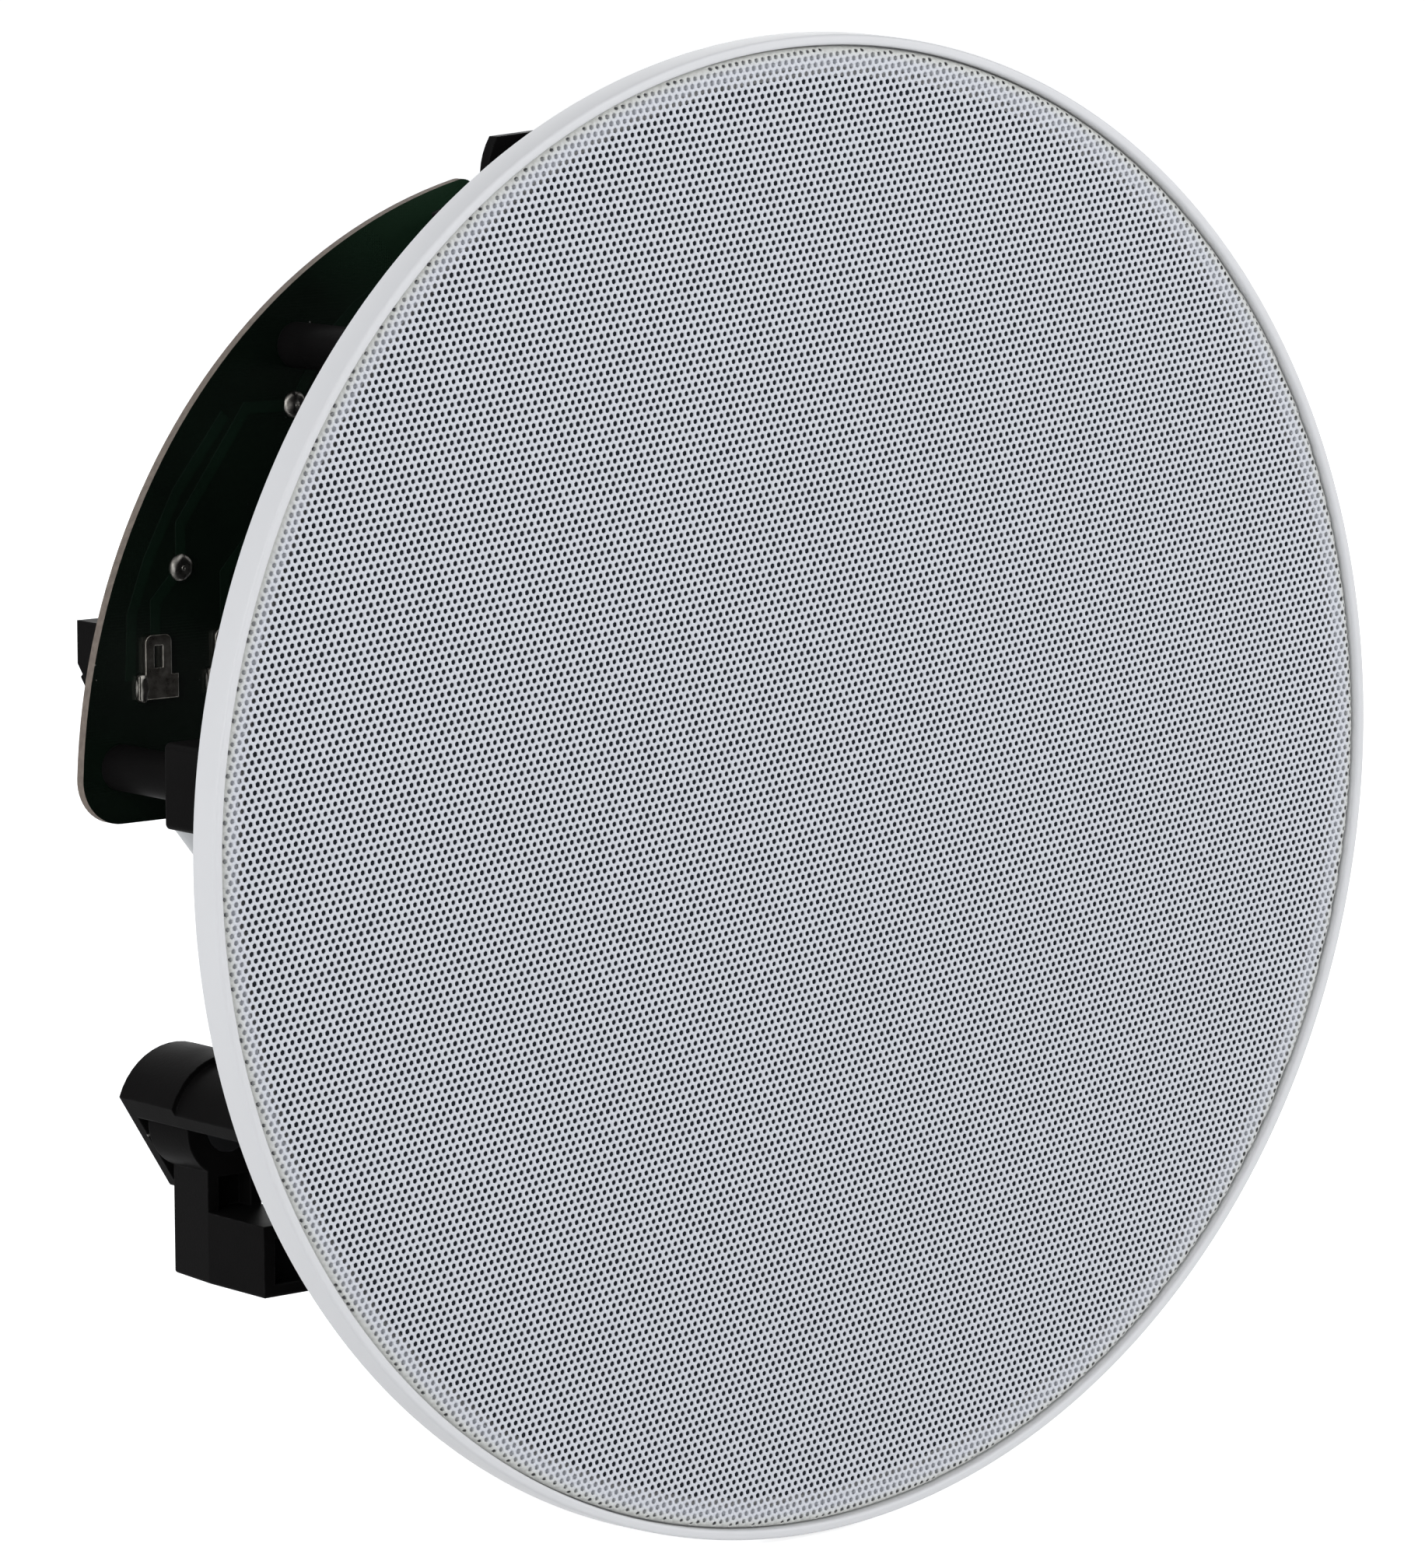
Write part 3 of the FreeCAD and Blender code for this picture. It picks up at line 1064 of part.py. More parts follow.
os.makedirs("parts", exist_ok=True)
for node, shape in make_parts().items():
    shape.exportStep(f"parts/{node}.step")
    print(f"{node}: {len(shape.Solids)} solids, valid {shape.isValid()}, {shape.Volume / 1000:.2f} cm3")
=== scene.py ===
import math

import bmesh
import bpy
import numpy as np
from mathutils import Matrix, Vector, noise
from mathutils.geometry import delaunay_2d_cdt


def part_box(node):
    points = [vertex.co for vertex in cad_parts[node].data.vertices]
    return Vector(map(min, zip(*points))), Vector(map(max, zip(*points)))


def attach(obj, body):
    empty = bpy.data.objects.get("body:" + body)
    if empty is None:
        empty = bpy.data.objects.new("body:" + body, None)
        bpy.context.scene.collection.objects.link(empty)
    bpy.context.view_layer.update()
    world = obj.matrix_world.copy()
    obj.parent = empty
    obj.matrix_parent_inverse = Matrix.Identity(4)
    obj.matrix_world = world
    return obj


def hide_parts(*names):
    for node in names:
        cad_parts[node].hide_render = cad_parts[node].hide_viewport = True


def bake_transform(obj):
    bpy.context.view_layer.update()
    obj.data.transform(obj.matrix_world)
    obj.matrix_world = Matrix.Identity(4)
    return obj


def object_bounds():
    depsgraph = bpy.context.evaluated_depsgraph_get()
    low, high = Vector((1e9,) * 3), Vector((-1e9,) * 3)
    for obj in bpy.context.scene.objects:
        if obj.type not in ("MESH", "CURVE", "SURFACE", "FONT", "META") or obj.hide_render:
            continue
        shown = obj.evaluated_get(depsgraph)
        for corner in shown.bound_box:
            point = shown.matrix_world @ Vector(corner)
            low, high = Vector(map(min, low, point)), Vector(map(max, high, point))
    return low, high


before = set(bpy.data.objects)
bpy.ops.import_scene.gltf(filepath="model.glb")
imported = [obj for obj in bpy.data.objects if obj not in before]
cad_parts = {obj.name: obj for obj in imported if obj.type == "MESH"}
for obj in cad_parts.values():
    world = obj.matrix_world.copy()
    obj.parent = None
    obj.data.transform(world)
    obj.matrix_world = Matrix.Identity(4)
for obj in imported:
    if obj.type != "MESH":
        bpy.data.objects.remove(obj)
cad_box = [list(corner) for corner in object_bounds()]

# Camera: a long lens in front of the speaker, to its left and a little above its middle,
# turned so that the round front and the parts behind its left edge both show.
CAMERA_PLACE = Vector((-0.73995, -0.86180, 0.16699))
CAMERA_RIGHT = Vector((0.76666, -0.64206, 0.0))
CAMERA_UP = Vector((0.09287, 0.11090, 0.98949))
CAMERA_LENS = 173.86
CAMERA_SENSOR = 36.0

camera_back = CAMERA_RIGHT.cross(CAMERA_UP)
camera_turn = Matrix((CAMERA_RIGHT, CAMERA_UP, camera_back)).transposed().to_4x4()
camera_data = bpy.data.cameras.new("camera")
camera_data.lens = CAMERA_LENS
camera_data.sensor_width = CAMERA_SENSOR
camera = bpy.data.objects.new("camera", camera_data)
camera.matrix_world = Matrix.Translation(CAMERA_PLACE) @ camera_turn
bpy.context.scene.collection.objects.link(camera)
bpy.context.scene.camera = camera
bpy.context.scene.view_settings.view_transform = "Standard"


# Studio: a pale floor under the rim and broad soft lamps, the strongest to the speaker's left.
# The floor shows white to the camera and in reflections, and still takes the shadow.
FLOOR_SIDE = 12.0
FLOOR_GAP = 0.0004
FLOOR_COLOUR = (0.86, 0.86, 0.86, 1.0)
FLOOR_LIFT = 0.68
SKY_COLOUR = (0.93, 0.96, 1.0, 1.0)
SKY_LEVEL = 0.80
SKY_TOP_SHARE = 0.35
SKY_FADE_START = 0.1
SKY_FADE_END = 0.9
LAMPS = {
    "left_lamp": {"place": (-1.9, -0.40, 0.6), "size": (2.0, 1.3), "watts": 18.0},
    "front_lamp": {"place": (1.2, -1.5, 0.65), "size": (2.0, 1.3), "watts": 19.2},
    "back_lamp": {"place": (0.6, 1.8, 0.8), "size": (2.0, 1.3), "watts": 9.0},
}


def add_node(tree, kind, inputs=None, **settings):
    """Node with its settings made and each input given a value or a link."""
    made = tree.nodes.new(kind)
    for setting, value in settings.items():
        setattr(made, setting, value)
    for socket, value in (inputs or {}).items():
        if isinstance(value, bpy.types.NodeSocket):
            tree.links.new(value, made.inputs[socket])
        else:
            made.inputs[socket].default_value = value
    return made


def seen_or_mirrored(tree):
    """1 where the camera, a reflection or clear glass looks at the surface."""
    path = add_node(tree, "ShaderNodeLightPath")
    seen = add_node(tree, "ShaderNodeMath", {
        0: path.outputs["Is Camera Ray"], 1: path.outputs["Is Glossy Ray"]}, operation="MAXIMUM")
    return add_node(tree, "ShaderNodeMath", {
        0: seen.outputs[0], 1: path.outputs["Is Transmission Ray"]}, operation="MAXIMUM").outputs[0]


world = bpy.data.worlds.new("studio")
world.use_nodes = True
bpy.context.scene.world = world
sky = world.node_tree
soft_sky = sky.nodes["Background"]
soft_sky.inputs["Color"].default_value = SKY_COLOUR
sky_way = add_node(sky, "ShaderNodeTexCoord").outputs["Generated"]
sky_height = add_node(sky, "ShaderNodeSeparateXYZ", {0: sky_way}).outputs["Z"]
sky_fade = add_node(sky, "ShaderNodeMapRange", {
    "Value": sky_height, "From Min": SKY_FADE_START, "From Max": SKY_FADE_END,
    "To Min": SKY_LEVEL, "To Max": SKY_LEVEL * SKY_TOP_SHARE})
sky.links.new(sky_fade.outputs[0], soft_sky.inputs["Strength"])
white_sky = add_node(sky, "ShaderNodeBackground", {"Color": (1, 1, 1, 1), "Strength": 1.0})
sky_mix = add_node(sky, "ShaderNodeMixShader", {
    0: seen_or_mirrored(sky), 1: soft_sky.outputs[0], 2: white_sky.outputs[0]})
sky.links.new(sky_mix.outputs[0], sky.nodes["World Output"].inputs["Surface"])

floor_mesh = bpy.data.meshes.new("floor")
half_floor = FLOOR_SIDE / 2
floor_z = cad_box[0][2] - FLOOR_GAP
floor_mesh.from_pydata([
    (-half_floor, -half_floor, floor_z), (half_floor, -half_floor, floor_z),
    (half_floor, half_floor, floor_z), (-half_floor, half_floor, floor_z)], [], [(0, 1, 2, 3)])
floor = bpy.data.objects.new("floor", floor_mesh)
bpy.context.scene.collection.objects.link(floor)
floor_paper = bpy.data.materials.new("floor_paper")
floor_paper.use_nodes = True
paper = floor_paper.node_tree
paper_face = paper.nodes["Principled BSDF"]
paper_face.inputs["Base Color"].default_value = FLOOR_COLOUR
paper_face.inputs["Roughness"].default_value = 0.9
paper_face.inputs["Specular IOR Level"].default_value = 0.0
lift = add_node(paper, "ShaderNodeMath", {0: seen_or_mirrored(paper), 1: FLOOR_LIFT}, operation="MULTIPLY")
paper_glow = add_node(paper, "ShaderNodeEmission", {"Strength": lift.outputs[0]})
paper_sum = add_node(paper, "ShaderNodeAddShader", {0: paper_face.outputs[0], 1: paper_glow.outputs[0]})
paper.links.new(paper_sum.outputs[0], paper.nodes["Material Output"].inputs["Surface"])
floor_mesh.materials.append(floor_paper)

for lamp_name, lamp in LAMPS.items():
    lamp_data = bpy.data.lights.new(lamp_name, "AREA")
    lamp_data.shape = "RECTANGLE"
    lamp_data.size, lamp_data.size_y = lamp["size"]
    lamp_data.energy = lamp["watts"]
    lamp_object = bpy.data.objects.new(lamp_name, lamp_data)
    lamp_object.location = lamp["place"]
    lamp_object.rotation_euler = Vector(lamp["place"]).to_track_quat("Z", "Y").to_euler()
    bpy.context.scene.collection.objects.link(lamp_object)


# Trim ring: the white flange round the front, injection moulded in satin plastic.
# Its lip frames the grille, its ledge carries it, and six screws hold it on the chassis.
MM = 0.001
RIM_DRAFT = 0.26
RIM_DEPTH = 5.0
LIP_WIDTH = 1.5
LIP_ROUND = 0.45
REAR_ROUND = 0.2
LEDGE_Y = -2.2
RING_INNER_R = 98.0
SPIGOT_R = 104.0
REGISTER_DEPTH = 1.0
RING_SEGMENTS = 360
PLUG_SEGMENTS = 32
POCKET_R = 2.65
POCKET_CIRCLE_R = 104.7
POCKET_COUNT = 8
POCKET_FIRST_ANGLE = 11.0
POCKET_Y = -1.2
RING_HOLE_CIRCLE_R = 101.0
RING_HOLE_R = 1.4
RING_HOLE_HEAD_R = 2.5
RING_HOLE_SEAT_Y = -0.6
RING_HOLE_COUNT = 6
RING_HOLE_FIRST_ANGLE = 2.0
RING_WHITE = (0.70, 0.70, 0.71)


def polar(radius, angle):
    """X and Z of a point on a circle about the speaker's axis."""
    return radius * math.cos(math.radians(angle)), radius * math.sin(math.radians(angle))


def softened(corners, steps=4):
    """Profile in which each (r, y, radius) corner is rounded."""
    points = []
    count = len(corners)
    for i, (r, y, radius) in enumerate(corners):
        corner = Vector((r, y))
        if radius == 0:
            points.append(corner)
            continue
        to_last = (Vector(corners[i - 1][:2]) - corner).normalized()
        to_next = (Vector(corners[(i + 1) % count][:2]) - corner).normalized()
        half = to_last.angle(to_next) / 2
        middle = corner + (to_last + to_next).normalized() * (radius / math.sin(half))
        first = corner + to_last * (radius / math.tan(half)) - middle
        last = corner + to_next * (radius / math.tan(half)) - middle
        for step in range(steps + 1):
            points.append(middle + radius * first.slerp(last, step / steps).normalized())
    return points


def join_rings(made, this, following):
    """Adds the faces between two closed rings of as many points."""
    for i in range(len(this)):
        j = (i + 1) % len(this)
        made.faces.new((this[i], this[j], following[j], following[i]))


def turned_bmesh(profile, segments, x=0.0, z=0.0):
    """Closed (r, y) profile in millimetres turned about an axis along Y, as a bmesh in metres."""
    made = bmesh.new()
    rings = []
    for r, y in profile:
        ring = []
        for i in range(segments):
            turn = 2 * math.pi * i / segments
            around_x, around_z = x + r * math.cos(turn), z + r * math.sin(turn)
            ring.append(made.verts.new((around_x * MM, y * MM, around_z * MM)))
        rings.append(ring)
    for this, following in zip(rings, rings[1:] + rings[:1]):
        join_rings(made, this, following)
    bmesh.ops.remove_doubles(made, verts=made.verts, dist=1e-7)
    bmesh.ops.recalc_face_normals(made, faces=made.faces)
    return made


def as_piece(name, made, crease=35.0):
    """Object from a bmesh, smooth except where its faces meet at more than the crease angle."""
    mesh = bpy.data.meshes.new(name)
    made.to_mesh(mesh)
    made.free()
    mesh.shade_smooth()
    mesh.set_sharp_from_angle(angle=math.radians(crease))
    piece = bpy.data.objects.new(name, mesh)
    bpy.context.scene.collection.objects.link(piece)
    return piece


def cut_away(piece, cutter):
    """Takes the cutter's shape out of a piece and removes the cutter."""
    carve = piece.modifiers.new("carve", "BOOLEAN")
    carve.object = cutter
    carve.solver = "EXACT"
    bpy.context.view_layer.update()
    carved = bpy.data.meshes.new_from_object(piece.evaluated_get(bpy.context.evaluated_depsgraph_get()))
    piece.modifiers.clear()
    piece.data = carved
    carved.name = piece.name
    bpy.data.objects.remove(cutter)


def plugs(places, radius, y0, y1):
    """One bmesh of cylinders along Y at these places."""
    made = bmesh.new()
    for x, z in places:
        middle = Matrix.Translation((x * MM, (y0 + y1) / 2 * MM, z * MM))
        bmesh.ops.create_cone(
            made, cap_ends=True, segments=PLUG_SEGMENTS, radius1=radius * MM, radius2=radius * MM,
            depth=(y1 - y0) * MM, matrix=middle @ Matrix.Rotation(math.pi / 2, 4, "X"))
    return made


def around(radius, count, first_angle):
    """Evenly spaced places on a circle about the speaker's axis."""
    return [polar(radius, first_angle + 360.0 * i / count) for i in range(count)]


ring_low, ring_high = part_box("trim_ring")
rim_r = min(-ring_low.x, ring_high.x, -ring_low.z, ring_high.z) / MM
lip_r = rim_r - RIM_DRAFT
ring_profile = softened([
    (rim_r, 0, REAR_ROUND), (lip_r, -RIM_DEPTH, LIP_ROUND),
    (lip_r - LIP_WIDTH, -RIM_DEPTH, LIP_ROUND), (lip_r - LIP_WIDTH, LEDGE_Y, 0),
    (RING_INNER_R, LEDGE_Y, 0), (RING_INNER_R, REGISTER_DEPTH, 0),
    (SPIGOT_R, REGISTER_DEPTH, 0), (SPIGOT_R, 0, 0)])
trim_ring = as_piece("trim_ring_moulding", turned_bmesh(ring_profile, RING_SEGMENTS))
ring_holes = around(RING_HOLE_CIRCLE_R, RING_HOLE_COUNT, RING_HOLE_FIRST_ANGLE)
ring_pockets = around(POCKET_CIRCLE_R, POCKET_COUNT, POCKET_FIRST_ANGLE)
for places, radius, y0, y1 in (
        (ring_pockets, POCKET_R, LEDGE_Y - 1, POCKET_Y),
        (ring_holes, RING_HOLE_HEAD_R, LEDGE_Y - 1, RING_HOLE_SEAT_Y),
        (ring_holes, RING_HOLE_R, LEDGE_Y, REGISTER_DEPTH + 1)):
    cut_away(trim_ring, as_piece("ring_cutter", plugs(places, radius, y0, y1)))


def new_group(name, inputs, outputs):
    """Empty shader node group with named value inputs and outputs, and its two end nodes."""
    group = bpy.data.node_groups.new(name, "ShaderNodeTree")
    for socket, value in inputs.items():
        made = group.interface.new_socket(socket, in_out="INPUT", socket_type="NodeSocketFloat")
        made.default_value = value
    for socket, kind in outputs.items():
        group.interface.new_socket(socket, in_out="OUTPUT", socket_type=kind)
    return group, group.nodes.new("NodeGroupInput"), group.nodes.new("NodeGroupOutput")


def use_group(tree, group, **values):
    """Node that places a group in a material with its own values."""
    made = tree.nodes.new("ShaderNodeGroup")
    made.node_tree = group
    for socket, value in values.items():
        made.inputs[socket].default_value = value
    return made


VALUE = "NodeSocketFloat"
# Moulded grain: fine pebbling of a moulded or sprayed skin, and a slow change of tone over it.
moulded_grain, given, out = new_group(
    "moulded_grain", {"Fineness": 1800.0, "Patches": 40.0}, {"Height": VALUE, "Tone": VALUE})
at = add_node(moulded_grain, "ShaderNodeTexCoord").outputs["Object"]
pebbles = add_node(moulded_grain, "ShaderNodeTexNoise", {
    "Vector": at, "Scale": given.outputs["Fineness"], "Detail": 2.0, "Roughness": 0.55})
patches = add_node(moulded_grain, "ShaderNodeTexNoise", {
    "Vector": at, "Scale": given.outputs["Patches"], "Detail": 3.0, "Roughness": 0.6})
moulded_grain.links.new(pebbles.outputs["Fac"], out.inputs["Height"])
moulded_grain.links.new(patches.outputs["Fac"], out.inputs["Tone"])

# Edge wear and highlight: a mask along the corners where handling polishes or scuffs the surface. Some
# materials use it for that wear, and some to paint a highlight along their edges.
edge_wear_and_highlight, given, out = new_group(
    "edge_wear_and_highlight", {"Width": 0.0004, "Breaks": 350.0}, {"Mask": VALUE})
round_over = add_node(edge_wear_and_highlight, "ShaderNodeBevel", {"Radius": given.outputs["Width"]}, samples=4)
plain = add_node(edge_wear_and_highlight, "ShaderNodeNewGeometry")
apart = add_node(edge_wear_and_highlight, "ShaderNodeVectorMath", {
    0: round_over.outputs[0], 1: plain.outputs["Normal"]}, operation="DOT_PRODUCT")
edge = add_node(edge_wear_and_highlight, "ShaderNodeMapRange", {
    "Value": apart.outputs["Value"], "From Min": 0.995, "From Max": 0.85})
where = add_node(edge_wear_and_highlight, "ShaderNodeTexCoord").outputs["Object"]
broken = add_node(edge_wear_and_highlight, "ShaderNodeTexNoise", {
    "Vector": where, "Scale": given.outputs["Breaks"], "Detail": 4.0})
gaps = add_node(edge_wear_and_highlight, "ShaderNodeMapRange", {
    "Value": broken.outputs["Fac"], "From Min": 0.38, "From Max": 0.62})
edge_wear_and_shine = add_node(edge_wear_and_highlight, "ShaderNodeMath", {
    0: edge.outputs[0], 1: gaps.outputs[0]}, operation="MULTIPLY")
edge_wear_and_highlight.links.new(edge_wear_and_shine.outputs[0], out.inputs["Mask"])

# Dust flecks: sparse pale specks that have settled on the surface.
dust_flecks, given, out = new_group(
    "dust_flecks", {"Spacing": 300.0, "Share": 0.12}, {"Mask": VALUE})
spot_at = add_node(dust_flecks, "ShaderNodeTexCoord").outputs["Object"]
spots = add_node(dust_flecks, "ShaderNodeTexVoronoi", {"Vector": spot_at, "Scale": given.outputs["Spacing"]})
small = add_node(dust_flecks, "ShaderNodeMapRange", {
    "Value": spots.outputs["Distance"], "From Min": 0.09, "From Max": 0.04})
lottery = add_node(dust_flecks, "ShaderNodeSeparateColor", {0: spots.outputs["Color"]})
chosen = add_node(dust_flecks, "ShaderNodeMath", {
    0: lottery.outputs[0], 1: given.outputs["Share"]}, operation="LESS_THAN")
fleck = add_node(dust_flecks, "ShaderNodeMath", {
    0: small.outputs[0], 1: chosen.outputs[0]}, operation="MULTIPLY")
dust_flecks.links.new(fleck.outputs[0], out.inputs["Mask"])


def new_material(name, roughness, **plain_values):
    """Material with its plain shader values set, its node tree and its shader."""
    material = bpy.data.materials.new(name)
    material.use_nodes = True
    shader = material.node_tree.nodes["Principled BSDF"]
    shader.inputs["Roughness"].default_value = roughness
    for socket, value in plain_values.items():
        shader.inputs[socket.replace("_", " ")].default_value = value
    return material, material.node_tree, shader


def tint(tree, mask, first, second):
    """Colour that goes from the first to the second as the mask rises."""
    made = add_node(tree, "ShaderNodeMix", {"Factor": mask}, data_type="RGBA")
    for socket, colour in zip(made.inputs[6:8], (first, second)):
        if isinstance(colour, bpy.types.NodeSocket):
            tree.links.new(colour, socket)
        else:
            socket.default_value = (*colour, 1.0)
    return made.outputs[2]


def spread(tree, value, low, high, from_low=0.3, from_high=0.7):
    """A mask's middle range stretched between two values."""
    return add_node(tree, "ShaderNodeMapRange", {
        "Value": value, "From Min": from_low, "From Max": from_high,
        "To Min": low, "To Max": high}).outputs[0]


def shaded(colour, share):
    """Colour made lighter or darker by a share."""
    return tuple(channel * share for channel in colour)


def mottled(tree, value, colour, dark, light):
    """Colour that wanders between a darker and a lighter shade as a mask's middle range does."""
    return tint(tree, spread(tree, value, 0.0, 1.0), shaded(colour, dark), shaded(colour, light))


def bumped(tree, height, depth, strength=1.0):
    """Normal bent by a height mask, whose full range is this deep in metres."""
    return add_node(tree, "ShaderNodeBump", {
        "Height": height, "Distance": depth, "Strength": strength}).outputs[0]


def connect(tree, shader, **sources):
    """Links masks, colours and normals to the shader's inputs."""
    for socket, source in sources.items():
        tree.links.new(source, shader.inputs[socket.replace("_", " ")])


def paint_piece(piece, material, body=None):
    """Gives a piece its material and, for a new piece, its body."""
    piece.data.materials.clear()
    piece.data.materials.append(material)
    if body:
        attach(piece, body)


white_plastic, tree, shader = new_material("white_plastic", 0.42, Specular_IOR_Level=0.4)
grain = use_group(tree, moulded_grain, Fineness=2600.0, Patches=22.0)
scuff = use_group(tree, edge_wear_and_highlight, Width=0.0005, Breaks=260.0)
tone = mottled(tree, grain.outputs["Tone"], RING_WHITE, 0.97, 1.0)
scuffed = spread(tree, scuff.outputs["Mask"], 0.0, 0.35, 0.0, 1.0)
connect(tree, shader,
        Base_Color=tint(tree, scuffed, tone, shaded(RING_WHITE, 0.88)),
        Roughness=spread(tree, grain.outputs["Tone"], 0.36, 0.48),
        Normal=bumped(tree, grain.outputs["Height"], 0.000012))
paint_piece(trim_ring, white_plastic, "frame")
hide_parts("trim_ring")


# Grille: thin steel sheet punched all over with fine holes, its edge rolled back to the ledge.
# It is powder coated a cool pale grey, and a painted hem closes the outer rows of holes from behind.
GRILLE_FRONT_Y = -4.3
GRILLE_R = 112.5
GRILLE_ROLL_R = 0.95
HOLE_PITCH = 1.263
HOLE_ROW_ANGLE = 5.8
HOLE_R = 0.455
HOLE_TAPER = 0.03
HOLE_DEPTH = 0.14
LATTICE_START = Vector((-24.06, 4.22))
LATTICE_SPARE = 1.2
LATTICE_BEFORE = 20
LATTICE_AFTER = 60
FIELD_REACH = 112.25
FIELD_EDGE = 112.85
FILLED_REACH = 110.5
HOLE_SPREAD = 0.03
FILLED_LEAST = 0.08
FILLED_MORE = 0.14
HEM_INNER_R = 109.4
HEM_OUTER_R = 112.0
HEM_SUNK = 0.62
EDGE_SEGMENTS = 720
GRILLE_SHEETS = 4
GRILLE_SEED = 7
GRILLE_GREY = (0.655, 0.67, 0.715)
GRILLE_CREAM = (0.63, 0.635, 0.605)
CREAM_START_R = 110.6
CREAM_FULL_R = 112.0

rng = np.random.default_rng(GRILLE_SEED)
row_turn = math.radians(HOLE_ROW_ANGLE)
step_a = HOLE_PITCH * np.array([math.cos(row_turn), math.sin(row_turn)])
step_b = HOLE_PITCH * np.array([math.cos(row_turn + math.pi / 3), math.sin(row_turn + math.pi / 3)])
reach = int(LATTICE_SPARE * GRILLE_R / (HOLE_PITCH * math.sin(math.pi / 3)))
columns, rows = np.meshgrid(
    np.arange(-reach - LATTICE_BEFORE, reach + LATTICE_AFTER), np.arange(-reach, reach + 1), indexing="ij")
centres = np.array(LATTICE_START) + columns[..., None] * step_a + rows[..., None] * step_b
in_field = np.hypot(centres[..., 0], centres[..., 1]) < FIELD_REACH
hole_number = np.full(in_field.shape, -1)
hole_number[in_field] = np.arange(in_field.sum())
hole_centres = centres[in_field]
hole_total = len(hole_centres)
hole_reach = np.hypot(hole_centres[:, 0], hole_centres[:, 1])
hole_radius = HOLE_R * (1 + HOLE_SPREAD * rng.standard_normal(hole_total))
filled = np.clip((hole_reach - FILLED_REACH) / (FIELD_REACH - FILLED_REACH), 0, 1)
hole_radius *= 1 - filled * (FILLED_LEAST + FILLED_MORE * rng.random(hole_total))
corner_turns = row_turn + math.radians(30) + np.arange(6) * math.pi / 3
corner_ways = np.stack([np.cos(corner_turns), np.sin(corner_turns)], axis=1)
front_flat = hole_centres[:, None] + hole_radius[:, None, None] * corner_ways
back_flat = hole_centres[:, None] + (hole_radius - HOLE_TAPER)[:, None, None] * corner_ways


def neighbours(shift_a, shift_b):
    """Number of the hole that lies these lattice steps away from each hole, or -1."""
    moved = np.full(hole_number.shape, -1)
    source = hole_number[max(shift_a, 0):hole_number.shape[0] + min(shift_a, 0),
                         max(shift_b, 0):hole_number.shape[1] + min(shift_b, 0)]
    moved[max(-shift_a, 0):hole_number.shape[0] - max(shift_a, 0),
          max(-shift_b, 0):hole_number.shape[1] - max(shift_b, 0)] = source
    return moved[in_field]


ring_of_six = [neighbours(*shift) for shift in ((1, 0), (0, 1), (-1, 1), (-1, 0), (0, -1), (1, -1))]
holes = np.arange(hole_total)
sheet_quads = []
sheet_triangles = []
for way in range(3):
    other = ring_of_six[way]
    found = other >= 0
    here, there = 6 * holes[found], 6 * other[found]
    sheet_quads.append(np.stack([
        here + (way - 1) % 6, there + (way + 3) % 6, there + way + 2, here + way], axis=1))
for way in range(2):
    one, two = ring_of_six[way], ring_of_six[way + 1]
    found = (one >= 0) & (two >= 0)
    sheet_triangles.append(np.stack([
        6 * holes[found] + way, 6 * one[found] + way + 2, 6 * two[found] + way + 4], axis=1))
sheet_quads = np.concatenate(sheet_quads)
sheet_triangles = np.concatenate(sheet_triangles)
back_start = 6 * hole_total
corner = np.arange(6)
wall_here = 6 * holes[:, None] + corner
wall_next = 6 * holes[:, None] + (corner + 1) % 6
hole_walls = np.stack([
    wall_here, wall_next, back_start + wall_next, back_start + wall_here], axis=2).reshape(-1, 4)

# Plain strip between the outermost holes and the rolled edge
rim_holes = holes[np.min(ring_of_six, axis=0) < 0]
used_edges = set()
for faces in (sheet_quads, sheet_triangles):
    for i in range(faces.shape[1]):
        used_edges.update(zip(faces[:, i].tolist(), faces[:, (i + 1) % faces.shape[1]].tolist()))
open_edges = [(a, b) for a, b in used_edges if a // 6 != b // 6 and (b, a) not in used_edges]
rim_points = (6 * rim_holes[:, None] + corner).ravel()
strip_number = {int(point): i for i, point in enumerate(rim_points)}
strip_edges = [(strip_number[a], strip_number[b]) for a, b in open_edges]
for hole in rim_holes.tolist():
    strip_edges += [(strip_number[6 * hole + k], strip_number[6 * hole + (k + 1) % 6]) for k in range(6)]
edge_turns = 2 * math.pi * np.arange(EDGE_SEGMENTS) / EDGE_SEGMENTS
edge_ways = np.stack([np.cos(edge_turns), np.sin(edge_turns)], axis=1)
strip_points = np.concatenate([front_flat.reshape(-1, 2)[rim_points], FIELD_EDGE * edge_ways])
first_edge_point = len(rim_points)
edge_loop = [(first_edge_point + i, first_edge_point + (i + 1) % EDGE_SEGMENTS)
             for i in range(EDGE_SEGMENTS)]
joined = delaunay_2d_cdt([Vector(point) for point in strip_points], strip_edges + edge_loop, [], 0, 1e-6)
joined_number = [sources[0] for sources in joined[3]]
joined_faces = [tuple(joined_number[v] for v in face) for face in joined[2]]
fences = {frozenset(pair) for pair in strip_edges}
faces_at = {}
for number, face in enumerate(joined_faces):
    for a, b in zip(face, face[1:] + face[:1]):
        faces_at.setdefault(frozenset((a, b)), []).append(number)
waiting = [number for pair in edge_loop for number in faces_at[frozenset(pair)]]
strip_faces = set()
while waiting:
    number = waiting.pop()
    if number in strip_faces:
        continue
    strip_faces.add(number)
    face = joined_faces[number]
    for pair in map(frozenset, zip(face, face[1:] + face[:1])):
        if pair not in fences:
            waiting += faces_at[pair]
edge_start = 2 * back_start
sheet_number = np.concatenate([rim_points, edge_start + np.arange(EDGE_SEGMENTS)])
strip_triangles = sheet_number[np.array([joined_faces[number] for number in sorted(strip_faces)])]

